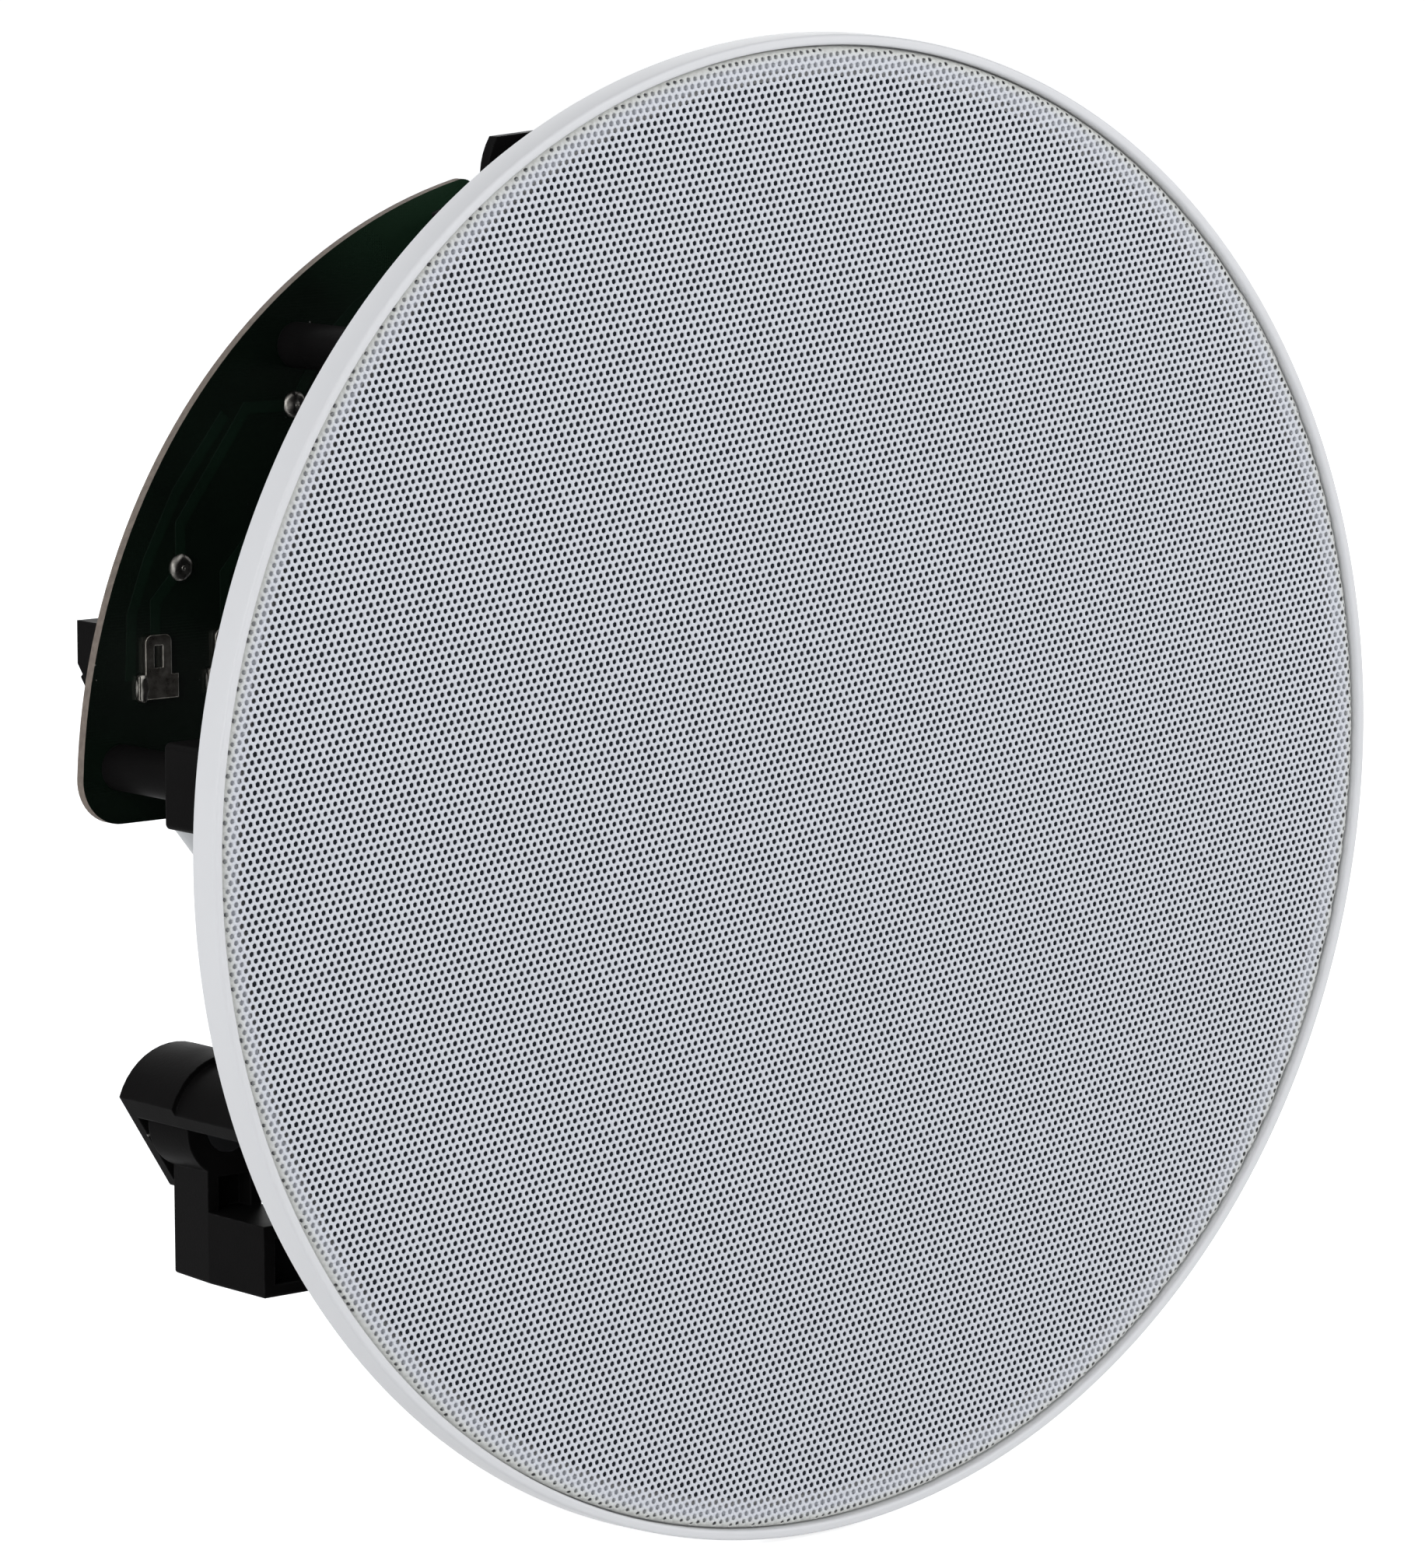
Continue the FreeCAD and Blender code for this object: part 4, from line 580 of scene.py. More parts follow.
# Bands from the strip over the roll and down to the ledge
roll_length = GRILLE_ROLL_R * math.pi / 2
roll_start = GRILLE_R - GRILLE_ROLL_R
edge_drop = LEDGE_Y - GRILLE_FRONT_Y - GRILLE_ROLL_R
band_reaches = [FIELD_EDGE, roll_start + roll_length, roll_start + roll_length + edge_drop]
band_flat = np.concatenate([reach * edge_ways for reach in band_reaches])
hem_flat = np.concatenate([HEM_INNER_R * edge_ways, HEM_OUTER_R * edge_ways])


def band_from(start):
    """Faces between the ring of edge points that starts at this number and the next ring."""
    here = start + np.arange(EDGE_SEGMENTS)
    following = start + (np.arange(EDGE_SEGMENTS) + 1) % EDGE_SEGMENTS
    return np.stack([here, here + EDGE_SEGMENTS, following + EDGE_SEGMENTS, following], axis=1)


hem_start = edge_start + len(band_reaches) * EDGE_SEGMENTS
band_starts = [edge_start + band * EDGE_SEGMENTS for band in range(len(band_reaches) - 1)]
band_quads = np.concatenate([band_from(start) for start in band_starts + [hem_start]])


def rolled(flat, sunk):
    """Places on the sheet for its unrolled X and Z, sunk below its face, in metres."""
    reach = np.hypot(flat[:, 0], flat[:, 1])
    bend = np.clip((reach - roll_start) / GRILLE_ROLL_R, 0, math.pi / 2)
    past = np.clip(reach - roll_start - roll_length, 0, None)
    radius = np.minimum(reach, roll_start) + (GRILLE_ROLL_R - sunk) * np.sin(bend)
    y = GRILLE_FRONT_Y + GRILLE_ROLL_R - (GRILLE_ROLL_R - sunk) * np.cos(bend) + past
    share = radius / np.maximum(reach, 1e-9)
    return np.stack([flat[:, 0] * share, y, flat[:, 1] * share], axis=1) * MM


flat_points = np.concatenate([front_flat.reshape(-1, 2), back_flat.reshape(-1, 2), band_flat, hem_flat])
sheet_points = np.concatenate([
    rolled(front_flat.reshape(-1, 2), 0.0), rolled(back_flat.reshape(-1, 2), HOLE_DEPTH),
    rolled(band_flat, 0.0), rolled(hem_flat, HEM_SUNK)])


def counter_clockwise(faces):
    """Triangles turned so that they face the front."""
    a, b, c = (flat_points[faces[:, i]] for i in range(3))
    flip = (b[:, 0] - a[:, 0]) * (c[:, 1] - a[:, 1]) - (b[:, 1] - a[:, 1]) * (c[:, 0] - a[:, 0]) < 0
    return np.where(flip[:, None], faces[:, ::-1], faces)


def sheet_of(faces):
    """Which quarter of the grille each face belongs to."""
    middle = flat_points[faces].mean(axis=1)
    turn = np.arctan2(middle[:, 1], middle[:, 0]) + math.pi
    return np.minimum((turn / (2 * math.pi) * GRILLE_SHEETS).astype(int), GRILLE_SHEETS - 1)


grille_paint, tree, shader = new_material("grille_paint", 0.5, Specular_IOR_Level=0.35)
peel = use_group(tree, moulded_grain, Fineness=4200.0, Patches=30.0)
place = add_node(tree, "ShaderNodeTexCoord").outputs["Object"]
across = add_node(tree, "ShaderNodeVectorMath", {0: place, 1: (1.0, 0.0, 1.0)}, operation="MULTIPLY")
off_axis = add_node(tree, "ShaderNodeVectorMath", {0: across.outputs[0]}, operation="LENGTH")
gathered = spread(tree, off_axis.outputs["Value"], 0.0, 1.0, CREAM_START_R * MM, CREAM_FULL_R * MM)
cool = mottled(tree, peel.outputs["Tone"], GRILLE_GREY, 0.965, 1.0)
connect(tree, shader,
        Base_Color=tint(tree, gathered, cool, GRILLE_CREAM),
        Roughness=spread(tree, peel.outputs["Tone"], 0.44, 0.58),
        Normal=bumped(tree, peel.outputs["Height"], 0.000015))
smooth_faces = [
    sheet_quads, counter_clockwise(sheet_triangles), counter_clockwise(strip_triangles), band_quads]
for quarter in range(GRILLE_SHEETS):
    kept = [faces[sheet_of(faces) == quarter] for faces in smooth_faces + [hole_walls]]
    numbers = np.unique(np.concatenate([faces.ravel() for faces in kept]))
    renumber = np.zeros(len(sheet_points), int)
    renumber[numbers] = np.arange(len(numbers))
    mesh = bpy.data.meshes.new(f"grille_sheet_{quarter + 1}")
    mesh.from_pydata(sheet_points[numbers].tolist(), [], [
        face for faces in kept for face in renumber[faces].tolist()])
    smooth_total = sum(len(faces) for faces in kept[:-1])
    mesh.polygons.foreach_set("use_smooth", np.arange(len(mesh.polygons)) < smooth_total)
    sheet = bpy.data.objects.new(mesh.name, mesh)
    bpy.context.scene.collection.objects.link(sheet)
    paint_piece(sheet, grille_paint, "frame")
    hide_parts("grille")


# Scrim cloth: a disc of dark open-weave polyester, glued behind the grille to hide the drivers.
# It is cut round and pulled flat, so only its weave and a faint slackness show.
CLOTH_R = 108.1
CLOTH_Y = -3.45
CLOTH_SLACK = 0.06
CLOTH_WAVES = 2.5
CLOTH_RINGS = 24
CLOTH_SEGMENTS = 96
CLOTH_THREADS = 2400.0
CLOTH_SLATE = (0.043, 0.05, 0.066)

# Weave: two crossed sets of threads, as a height and as the shade between them.
weave, given, out = new_group("weave", {"Threads": 2000.0}, {"Height": VALUE, "Shade": VALUE})
weave_at = add_node(weave, "ShaderNodeTexCoord").outputs["Object"]
thread_sets = []
for direction in ("X", "Z"):
    threads = add_node(weave, "ShaderNodeTexWave", {
        "Vector": weave_at, "Scale": given.outputs["Threads"], "Distortion": 0.6, "Detail": 1.0},
        bands_direction=direction)
    thread_sets.append(threads.outputs["Fac"])
crossed = add_node(weave, "ShaderNodeMath", {0: thread_sets[0], 1: thread_sets[1]}, operation="MAXIMUM")
between = add_node(weave, "ShaderNodeMath", {0: thread_sets[0], 1: thread_sets[1]}, operation="MULTIPLY")
weave.links.new(crossed.outputs[0], out.inputs["Height"])
weave.links.new(between.outputs[0], out.inputs["Shade"])

cloth_bmesh = bmesh.new()
cloth_rings = []
for i in range(1, CLOTH_RINGS + 1):
    radius = CLOTH_R * i / CLOTH_RINGS
    slack = CLOTH_SLACK * math.sin(CLOTH_WAVES * math.pi * i / CLOTH_RINGS) * (1 - i / CLOTH_RINGS)
    cloth_rings.append([
        cloth_bmesh.verts.new((x * MM, (CLOTH_Y + slack) * MM, z * MM))
        for x, z in around(radius, CLOTH_SEGMENTS, 0.0)])
cloth_middle = cloth_bmesh.verts.new((0, CLOTH_Y * MM, 0))
for i in range(CLOTH_SEGMENTS):
    j = (i + 1) % CLOTH_SEGMENTS
    cloth_bmesh.faces.new((cloth_middle, cloth_rings[0][i], cloth_rings[0][j]))
    for inner, outer in zip(cloth_rings, cloth_rings[1:]):
        cloth_bmesh.faces.new((inner[i], outer[i], outer[j], inner[j]))
scrim = as_piece("scrim_sheet", cloth_bmesh)
scrim_cloth, tree, shader = new_material("scrim", 0.85, Specular_IOR_Level=0.15)
cloth_weave = use_group(tree, weave, Threads=CLOTH_THREADS)
connect(tree, shader,
        Base_Color=tint(tree, cloth_weave.outputs["Shade"],
                        shaded(CLOTH_SLATE, 0.7), shaded(CLOTH_SLATE, 1.25)),
        Normal=bumped(tree, cloth_weave.outputs["Height"], 0.00004))
paint_piece(scrim, scrim_cloth, "frame")
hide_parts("scrim_cloth")


# Grille magnets: nickel-plated discs pressed into pockets of the ring's ledge.
# The steel grille sticks to them, so it lifts off without tools.
NICKEL = (0.60, 0.59, 0.56)
STREAK_STRETCH = (1.0, 0.12, 1.0)

# Plated sheen: fine streaks and dull patches of a plated or rolled metal skin.
plated_sheen, given, out = new_group(
    "plated_sheen", {"Streaks": 900.0, "Patches": 120.0}, {"Height": VALUE, "Dull": VALUE})
skin_at = add_node(plated_sheen, "ShaderNodeTexCoord").outputs["Object"]
drawn_out = add_node(plated_sheen, "ShaderNodeVectorMath", {
    0: skin_at, 1: STREAK_STRETCH}, operation="MULTIPLY")
streaks = add_node(plated_sheen, "ShaderNodeTexNoise", {
    "Vector": drawn_out.outputs[0], "Scale": given.outputs["Streaks"], "Detail": 3.0})
dull_spots = add_node(plated_sheen, "ShaderNodeTexNoise", {
    "Vector": skin_at, "Scale": given.outputs["Patches"], "Detail": 4.0, "Roughness": 0.65})
plated_sheen.links.new(streaks.outputs["Fac"], out.inputs["Height"])
plated_sheen.links.new(dull_spots.outputs["Fac"], out.inputs["Dull"])


def plated_metal(name, colour, tarnish, smooth, rough, patches=120.0, edge_round=0.0002):
    """Bare or plated metal, shiny in some patches and dull in others, with its corners rolled over and
    painted lighter as a highlight.
    """
    material, tree, shader = new_material(name, rough, Metallic=1.0)
    sheen = use_group(tree, plated_sheen, Patches=patches)
    edge_wear_and_shine = use_group(tree, edge_wear_and_highlight, Width=edge_round)
    soft_edge = add_node(tree, "ShaderNodeBevel", {"Radius": edge_round}, samples=6)
    face = tint(tree, spread(tree, sheen.outputs["Dull"], 0.0, 1.0), colour, tarnish)
    drawn = add_node(tree, "ShaderNodeBump", {
        "Height": sheen.outputs["Height"], "Distance": 0.000006, "Normal": soft_edge.outputs[0]})
    # Painted highlight: the colour goes lighter along the corners.
    connect(tree, shader,
            Base_Color=tint(tree, edge_wear_and_shine.outputs["Mask"], face, shaded(colour, 1.15)),
            Roughness=spread(tree, sheen.outputs["Dull"], smooth, rough),
            Normal=drawn.outputs[0])
    return material


def dress(material, *nodes):
    """Gives solids of the frame their finish."""
    for node in nodes:
        paint_piece(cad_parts[node], material)


dress(plated_metal("bright_metal", NICKEL, shaded(NICKEL, 0.75), 0.18, 0.35), "grille_magnets")


# Chassis: one black moulding with the skirt that fills the cut-out, the woofer's recess,
# the three clamp towers and the two posts of the circuit board.
PLASTIC_BLACK = (0.0055, 0.0052, 0.0052)
# Lighter colour of the plastic's corners: partly rubbing wear, partly a painted highlight.
PLASTIC_WORN_AND_LIT_EDGE = (0.022, 0.022, 0.022)
FLECK_GREY = (0.30, 0.29, 0.27)


def moulded_plastic(name, colour, edge_worn_and_lit, flecks):
    """Satin moulded plastic whose corners are painted lighter, partly as rubbing wear and partly as a
    painted highlight, with a little dust.
    """
    material, tree, shader = new_material(name, 0.45, Specular_IOR_Level=0.010)
    skin = use_group(tree, moulded_grain, Fineness=2200.0, Patches=70.0)
    edge_wear_and_shine = use_group(tree, edge_wear_and_highlight, Width=0.0005, Breaks=420.0)
    dust = use_group(tree, dust_flecks, Share=flecks)
    soft_edge = add_node(tree, "ShaderNodeBevel", {"Radius": 0.0003}, samples=4)
    face = mottled(tree, skin.outputs["Tone"], colour, 0.8, 1.2)
    # Corners painted lighter: partly rubbing wear, partly a painted highlight.
    worn_and_lit = tint(tree, spread(tree, edge_wear_and_shine.outputs["Mask"], 0.0, 0.6, 0.0, 1.0), face, edge_worn_and_lit)
    pebbled = add_node(tree, "ShaderNodeBump", {
        "Height": skin.outputs["Height"], "Distance": 0.00002, "Normal": soft_edge.outputs[0]})
    connect(tree, shader,
            Base_Color=tint(tree, dust.outputs["Mask"], worn_and_lit, FLECK_GREY),
            Roughness=spread(tree, skin.outputs["Tone"], 0.36, 0.50),
            Normal=pebbled.outputs[0])
    return material


black_plastic = moulded_plastic("black_plastic", PLASTIC_BLACK, PLASTIC_WORN_AND_LIT_EDGE, 0.05)
dress(black_plastic, "chassis")


# Trim screws: zinc-plated steel, driven from the front through the ring into the chassis.
# The grille covers their heads.
ZINC = (0.49, 0.50, 0.51)
ZINC_DULL = (0.40, 0.41, 0.43)

zinc_steel = plated_metal("zinc_steel", ZINC, ZINC_DULL, 0.32, 0.46, 420.0)
dress(zinc_steel, "trim_screws")


# Clamp screws: long zinc-plated machine screws with a pan head and a cross recess.
# Each turns in its tower and draws its threaded bush and arm towards the wall.
CLAMP_ANGLES = (94.0, 212.3, 332.3)
CLAMP_CIRCLE_R = 91.0
SCREW_HEAD_Y = 1.0
SCREW_SEAT_Y = 3.6
SCREW_HEAD_R = 4.0
SCREW_HEAD_ROUND = 0.9
SCREW_CREST_R = 2.0
SCREW_ROOT_R = 1.58
SCREW_CORE_R = 1.56
SCREW_TIP_Y = 56.9
SCREW_POINT_R = 1.08
SCREW_POINT_LENGTH = 0.5
SCREW_NECK_LENGTH = 0.4
SCREW_SEGMENTS = 40
SCREW_CREASE = 35.0
THREAD_PITCH = 1.5
THREAD_START_Y = 6.0
THREAD_STEPS = 24
THREAD_PROFILE = ((SCREW_ROOT_R, 0.0), (SCREW_ROOT_R, 0.25), (SCREW_CREST_R, 0.62),
                  (SCREW_CREST_R, 0.74), (SCREW_ROOT_R, 1.0))
RECESS_W = 1.2
RECESS_LENGTH = 4.8
RECESS_DEPTH = 1.5
ON_AXIS = 0.001


def threaded_shank(made, x, z):
    """Adds a right-hand thread, closed at both ends, to a bmesh."""
    turns = (SCREW_TIP_Y - THREAD_START_Y - THREAD_PITCH) / THREAD_PITCH
    columns = []
    steps = int(turns * THREAD_STEPS)
    for step in range(steps + 1):
        turn = -2 * math.pi * step / THREAD_STEPS
        ends = min(1.0, step / THREAD_STEPS, (steps - step) / THREAD_STEPS)
        column = []
        for r, share in THREAD_PROFILE:
            radius = SCREW_ROOT_R + (r - SCREW_ROOT_R) * ends
            y = THREAD_START_Y + (step / THREAD_STEPS + share) * THREAD_PITCH
            column.append(made.verts.new((
                (x + radius * math.cos(turn)) * MM, y * MM, (z + radius * math.sin(turn)) * MM)))
        columns.append(column)
    for this, following in zip(columns, columns[1:]):
        for i in range(len(THREAD_PROFILE) - 1):
            made.faces.new((this[i], this[i + 1], following[i + 1], following[i]))


for number, angle in enumerate(CLAMP_ANGLES, start=1):
    x, z = polar(CLAMP_CIRCLE_R, angle)
    head_profile = softened([
        (ON_AXIS, SCREW_HEAD_Y, 0), (SCREW_HEAD_R, SCREW_HEAD_Y, SCREW_HEAD_ROUND),
        (SCREW_HEAD_R, SCREW_SEAT_Y, 0), (SCREW_CREST_R, SCREW_SEAT_Y, 0),
        (SCREW_CREST_R, THREAD_START_Y, 0), (SCREW_CORE_R, THREAD_START_Y + SCREW_NECK_LENGTH, 0),
        (SCREW_CORE_R, SCREW_TIP_Y - SCREW_POINT_LENGTH, 0), (SCREW_POINT_R, SCREW_TIP_Y, 0),
        (ON_AXIS, SCREW_TIP_Y, 0)])
    screw_bmesh = turned_bmesh(head_profile, SCREW_SEGMENTS, x, z)
    screw = as_piece(f"clamp_screw_turned_{number}", screw_bmesh, SCREW_CREASE)
    cross = bmesh.new()
    for across_x, across_z in ((RECESS_LENGTH, RECESS_W), (RECESS_W, RECESS_LENGTH)):
        slot_place = Matrix.Translation((x * MM, SCREW_HEAD_Y * MM, z * MM))
        slot_size = Matrix.Diagonal((across_x * MM, 2 * RECESS_DEPTH * MM, across_z * MM, 1.0))
        bmesh.ops.create_cube(cross, size=1.0, matrix=slot_place @ slot_size)
    cut_away(screw, as_piece("recess_cutter", cross))
    made = bmesh.new()
    made.from_mesh(screw.data)
    threaded_shank(made, x, z)
    bmesh.ops.recalc_face_normals(made, faces=made.faces)
    made.to_mesh(screw.data)
    made.free()
    screw.data.shade_smooth()
    screw.data.set_sharp_from_angle(angle=math.radians(SCREW_CREASE))
    paint_piece(screw, zinc_steel, f"clamp_screw_{number}")
    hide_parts(f"clamp_screw_{number}")


# Clamp arms: black mouldings, each on a flanged steel bush that runs on its screw's thread.
# The arm swings out over the back of the wall and its toe presses on it.
dress(black_plastic, "clamp_arm_1", "clamp_arm_2", "clamp_arm_3")


# Basket: the woofer's pressed steel frame, stove-enamelled black, with six windows.
# Four screws hold its flange, and a rubber ring over it clamps the edge of the surround.
# The clamps' bushes have the same black coat.
ENAMEL_BLACK = (0.016, 0.016, 0.017)
BARE_STEEL = (0.12, 0.12, 0.125)
RUBBER_BLACK = (0.014, 0.014, 0.0145)

black_steel, tree, shader = new_material("black_steel", 0.34, Specular_IOR_Level=0.5)
enamel = use_group(tree, moulded_grain, Fineness=1300.0, Patches=60.0)
chips = use_group(tree, edge_wear_and_highlight, Width=0.0003, Breaks=700.0)
lint = use_group(tree, dust_flecks, Share=0.04)
coat = mottled(tree, enamel.outputs["Tone"], ENAMEL_BLACK, 0.8, 1.3)
chipped = tint(tree, spread(tree, chips.outputs["Mask"], 0.0, 0.7, 0.3, 1.0), coat, BARE_STEEL)
connect(tree, shader,
        Base_Color=tint(tree, lint.outputs["Mask"], chipped, FLECK_GREY),
        Roughness=spread(tree, enamel.outputs["Tone"], 0.26, 0.42),
        Normal=bumped(tree, enamel.outputs["Height"], 0.000012))
dress(black_steel, "basket", "woofer_screws", "clamp_nut_1", "clamp_nut_2", "clamp_nut_3")


def grained_finish(name, colour, shades, gloss, fineness, patches, relief, specular):
    """Skin whose tone, gloss and fine relief wander over the surface."""
    material, tree, shader = new_material(name, sum(gloss) / 2, Specular_IOR_Level=specular)
    skin = use_group(tree, moulded_grain, Fineness=fineness, Patches=patches)
    connect(tree, shader,
            Base_Color=mottled(tree, skin.outputs["Tone"], colour, *shades),
            Roughness=spread(tree, skin.outputs["Tone"], *gloss),
            Normal=bumped(tree, skin.outputs["Height"], relief))
    return material


black_rubber = grained_finish(
    "black_rubber", RUBBER_BLACK, (0.8, 1.7), (0.6, 0.8), 2600.0, 90.0, 0.00001, 0.35)
dress(black_rubber, "woofer_gasket")


# Surround and spider: the rubber half roll at the cone's edge and the varnished cloth ring at its
# neck. Both are glued to the basket outside and to the cone inside.
SURROUND_OUTER_R = 72.7
SURROUND_ROLL_OUTER_R = 68.7
SURROUND_ROLL_INNER_R = 60.6
SURROUND_INNER_R = 58.4
SURROUND_BACK_Y = 10.0
SURROUND_THICKNESS = 0.6
SPIDER_OUTER_R = 49.0
SPIDER_LANDING_R = 43.0
SPIDER_INNER_R = 15.92
SPIDER_BACK_Y = 43.5
SPIDER_THICKNESS = 0.5
SPIDER_WAVES = 5
SPIDER_WAVE_HEIGHT = 1.2
MEMBRANE_SECTORS = 12
SECTOR_STEPS = 10
ROLL_STEPS = 16
WAVE_STEPS = 8
SPIDER_YELLOW = (0.46, 0.33, 0.10)


def membrane_sector(name, rear_line, thickness, first_angle, span):
    """Part of a thin turned skin: an (r, y) line on its rear side, and its thickness to the front."""
    made = bmesh.new()
    grid = []
    for side in (0.0, -thickness):
        for step in range(SECTOR_STEPS + 1):
            turn = math.radians(first_angle + span * step / SECTOR_STEPS)
            grid.append([made.verts.new((r * math.cos(turn) * MM, (y + side) * MM, r * math.sin(turn) * MM))
                         for r, y in rear_line])
    half = SECTOR_STEPS + 1
    for step in range(SECTOR_STEPS):
        for i in range(len(rear_line) - 1):
            for low in (step, half + step):
                made.faces.new((grid[low][i], grid[low][i + 1], grid[low + 1][i + 1], grid[low + 1][i]))
        for i in (0, -1):
            made.faces.new((
                grid[step][i], grid[step + 1][i], grid[half + step + 1][i], grid[half + step][i]))
    bmesh.ops.recalc_face_normals(made, faces=made.faces)
    return as_piece(name, made, 50.0)


roll_r = (SURROUND_ROLL_OUTER_R - SURROUND_ROLL_INNER_R) / 2
roll_middle_r = (SURROUND_ROLL_OUTER_R + SURROUND_ROLL_INNER_R) / 2
surround_line = [(SURROUND_OUTER_R, SURROUND_BACK_Y)]
for i in range(ROLL_STEPS + 1):
    lean = math.pi * i / ROLL_STEPS
    surround_line.append((
        roll_middle_r + roll_r * math.cos(lean), SURROUND_BACK_Y - roll_r * math.sin(lean)))
surround_line.append((SURROUND_INNER_R, SURROUND_BACK_Y))
spider_line = [(SPIDER_OUTER_R, SPIDER_BACK_Y)]
for i in range(WAVE_STEPS * SPIDER_WAVES + 1):
    share = i / (WAVE_STEPS * SPIDER_WAVES)
    rise = 0.5 * SPIDER_WAVE_HEIGHT * (1 - math.cos(2 * math.pi * SPIDER_WAVES * share))
    r = SPIDER_LANDING_R + share * (SPIDER_INNER_R - SPIDER_LANDING_R)
    spider_line.append((r, SPIDER_BACK_Y - rise))
spider_cloth, tree, shader = new_material("spider_cloth", 0.55, Specular_IOR_Level=0.4)
stiffened = use_group(tree, weave, Threads=900.0)
varnish = use_group(tree, moulded_grain, Fineness=900.0, Patches=60.0)
golden = tint(tree, stiffened.outputs["Shade"], shaded(SPIDER_YELLOW, 0.6), SPIDER_YELLOW)
connect(tree, shader,
        Base_Color=tint(tree, spread(tree, varnish.outputs["Tone"], 0.0, 0.5),
                        golden, shaded(SPIDER_YELLOW, 0.5)),
        Roughness=spread(tree, varnish.outputs["Tone"], 0.45, 0.7),
        Normal=bumped(tree, stiffened.outputs["Height"], 0.00008))
sector_span = 360.0 / MEMBRANE_SECTORS
for number in range(MEMBRANE_SECTORS):
    first_angle = number * sector_span
    for name, line, thickness, material, slot, node, inner_r, outer_r in (
            ("surround", surround_line, SURROUND_THICKNESS, black_rubber, "black_rubber", "surround",
             SURROUND_ROLL_INNER_R, SURROUND_ROLL_OUTER_R),
            ("spider", spider_line, SPIDER_THICKNESS, spider_cloth, "spider_cloth", "spider",
             SPIDER_INNER_R, SPIDER_LANDING_R)):
        sector = membrane_sector(f"{name}_sector_{number + 1}", line, thickness, first_angle, sector_span)
        paint_piece(sector, material)
        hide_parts(node)
        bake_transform(sector)


# Cone, dust cap, former and coil: pressed paper pulp coated black, with a dome glued over the
# neck, a foil former inside it and the coil of enamelled copper wire wound on that.
PULP_BLACK = (0.021, 0.021, 0.023)
FOIL = (0.75, 0.75, 0.76)
WIRE_COPPER = (0.60, 0.24, 0.10)
COIL_TURN = 0.35

cone_paper = grained_finish("cone_paper", PULP_BLACK, (0.7, 1.6), (0.65, 0.85), 700.0, 160.0, 0.00008, 0.3)
dress(cone_paper, "cone", "dust_cap")
dress(plated_metal("aluminium", FOIL, shaded(FOIL, 0.85), 0.25, 0.4), "coil_former")

copper, tree, shader = new_material("copper", 0.3, Metallic=1.0)
turn_at = add_node(tree, "ShaderNodeTexCoord").outputs["Object"]
turn_lines = add_node(tree, "ShaderNodeTexWave", {
    "Vector": turn_at, "Scale": math.pi / (10 * COIL_TURN * MM), "Distortion": 0.0}, bands_direction="Y")
enamel_tone = use_group(tree, moulded_grain, Fineness=500.0, Patches=200.0)
connect(tree, shader,
        Base_Color=mottled(tree, enamel_tone.outputs["Tone"], WIRE_COPPER, 0.75, 1.0),
        Roughness=spread(tree, enamel_tone.outputs["Tone"], 0.24, 0.4),
        Normal=bumped(tree, turn_lines.outputs["Fac"], 0.00005))
dress(copper, "voice_coil")


# Motor: a ferrite ring magnet glued between a zinc-plated top plate and a yoke, whose pole has a vent.
# Beside it a small fibre plate carries the two solder tags for the woofer's leads.
FERRITE_GREY = (0.034, 0.034, 0.037)
TIN = (0.44, 0.42, 0.38)
TIN_DULL = (0.115, 0.105, 0.09)

ferrite, tree, shader = new_material("ferrite", 0.6, Specular_IOR_Level=0.4)
sinter = use_group(tree, moulded_grain, Fineness=1500.0, Patches=140.0)
nicks = use_group(tree, edge_wear_and_highlight, Width=0.0008, Breaks=240.0)
ceramic_tone = mottled(tree, sinter.outputs["Tone"], FERRITE_GREY, 0.7, 1.5)
nicked = spread(tree, nicks.outputs["Mask"], 0.0, 0.5, 0.2, 1.0)
connect(tree, shader,
        Base_Color=tint(tree, nicked, ceramic_tone, shaded(FERRITE_GREY, 3.0)),
        Roughness=spread(tree, sinter.outputs["Tone"], 0.45, 0.7),
        Normal=bumped(tree, sinter.outputs["Height"], 0.00005))
dress(zinc_steel, "top_plate", "back_plate")
dress(ferrite, "ring_magnet")
tinned_tags = plated_metal("tinned_tags", TIN, TIN_DULL, 0.12, 0.30, 520.0, 0.0003)
dress(tinned_tags, "woofer_terminals")


# Tweeter: a silk dome and its sealed motor behind a flared face ring, in a cup at the middle of
# a black bridge that two screws hold across the front of the woofer.
SILK_BLACK = (0.016, 0.016, 0.018)

dome_cloth, tree, shader = new_material("dome_cloth", 0.6, Specular_IOR_Level=0.4)
silk = use_group(tree, weave, Threads=1600.0)
connect(tree, shader,
        Base_Color=tint(tree, silk.outputs["Shade"], shaded(SILK_BLACK, 0.7), shaded(SILK_BLACK, 1.5)),
        Normal=bumped(tree, silk.outputs["Height"], 0.00002))
dress(black_plastic, "tweeter_bridge", "tweeter_faceplate")
dress(black_steel, "bridge_screws", "tweeter_motor")
dress(dome_cloth, "tweeter_dome")


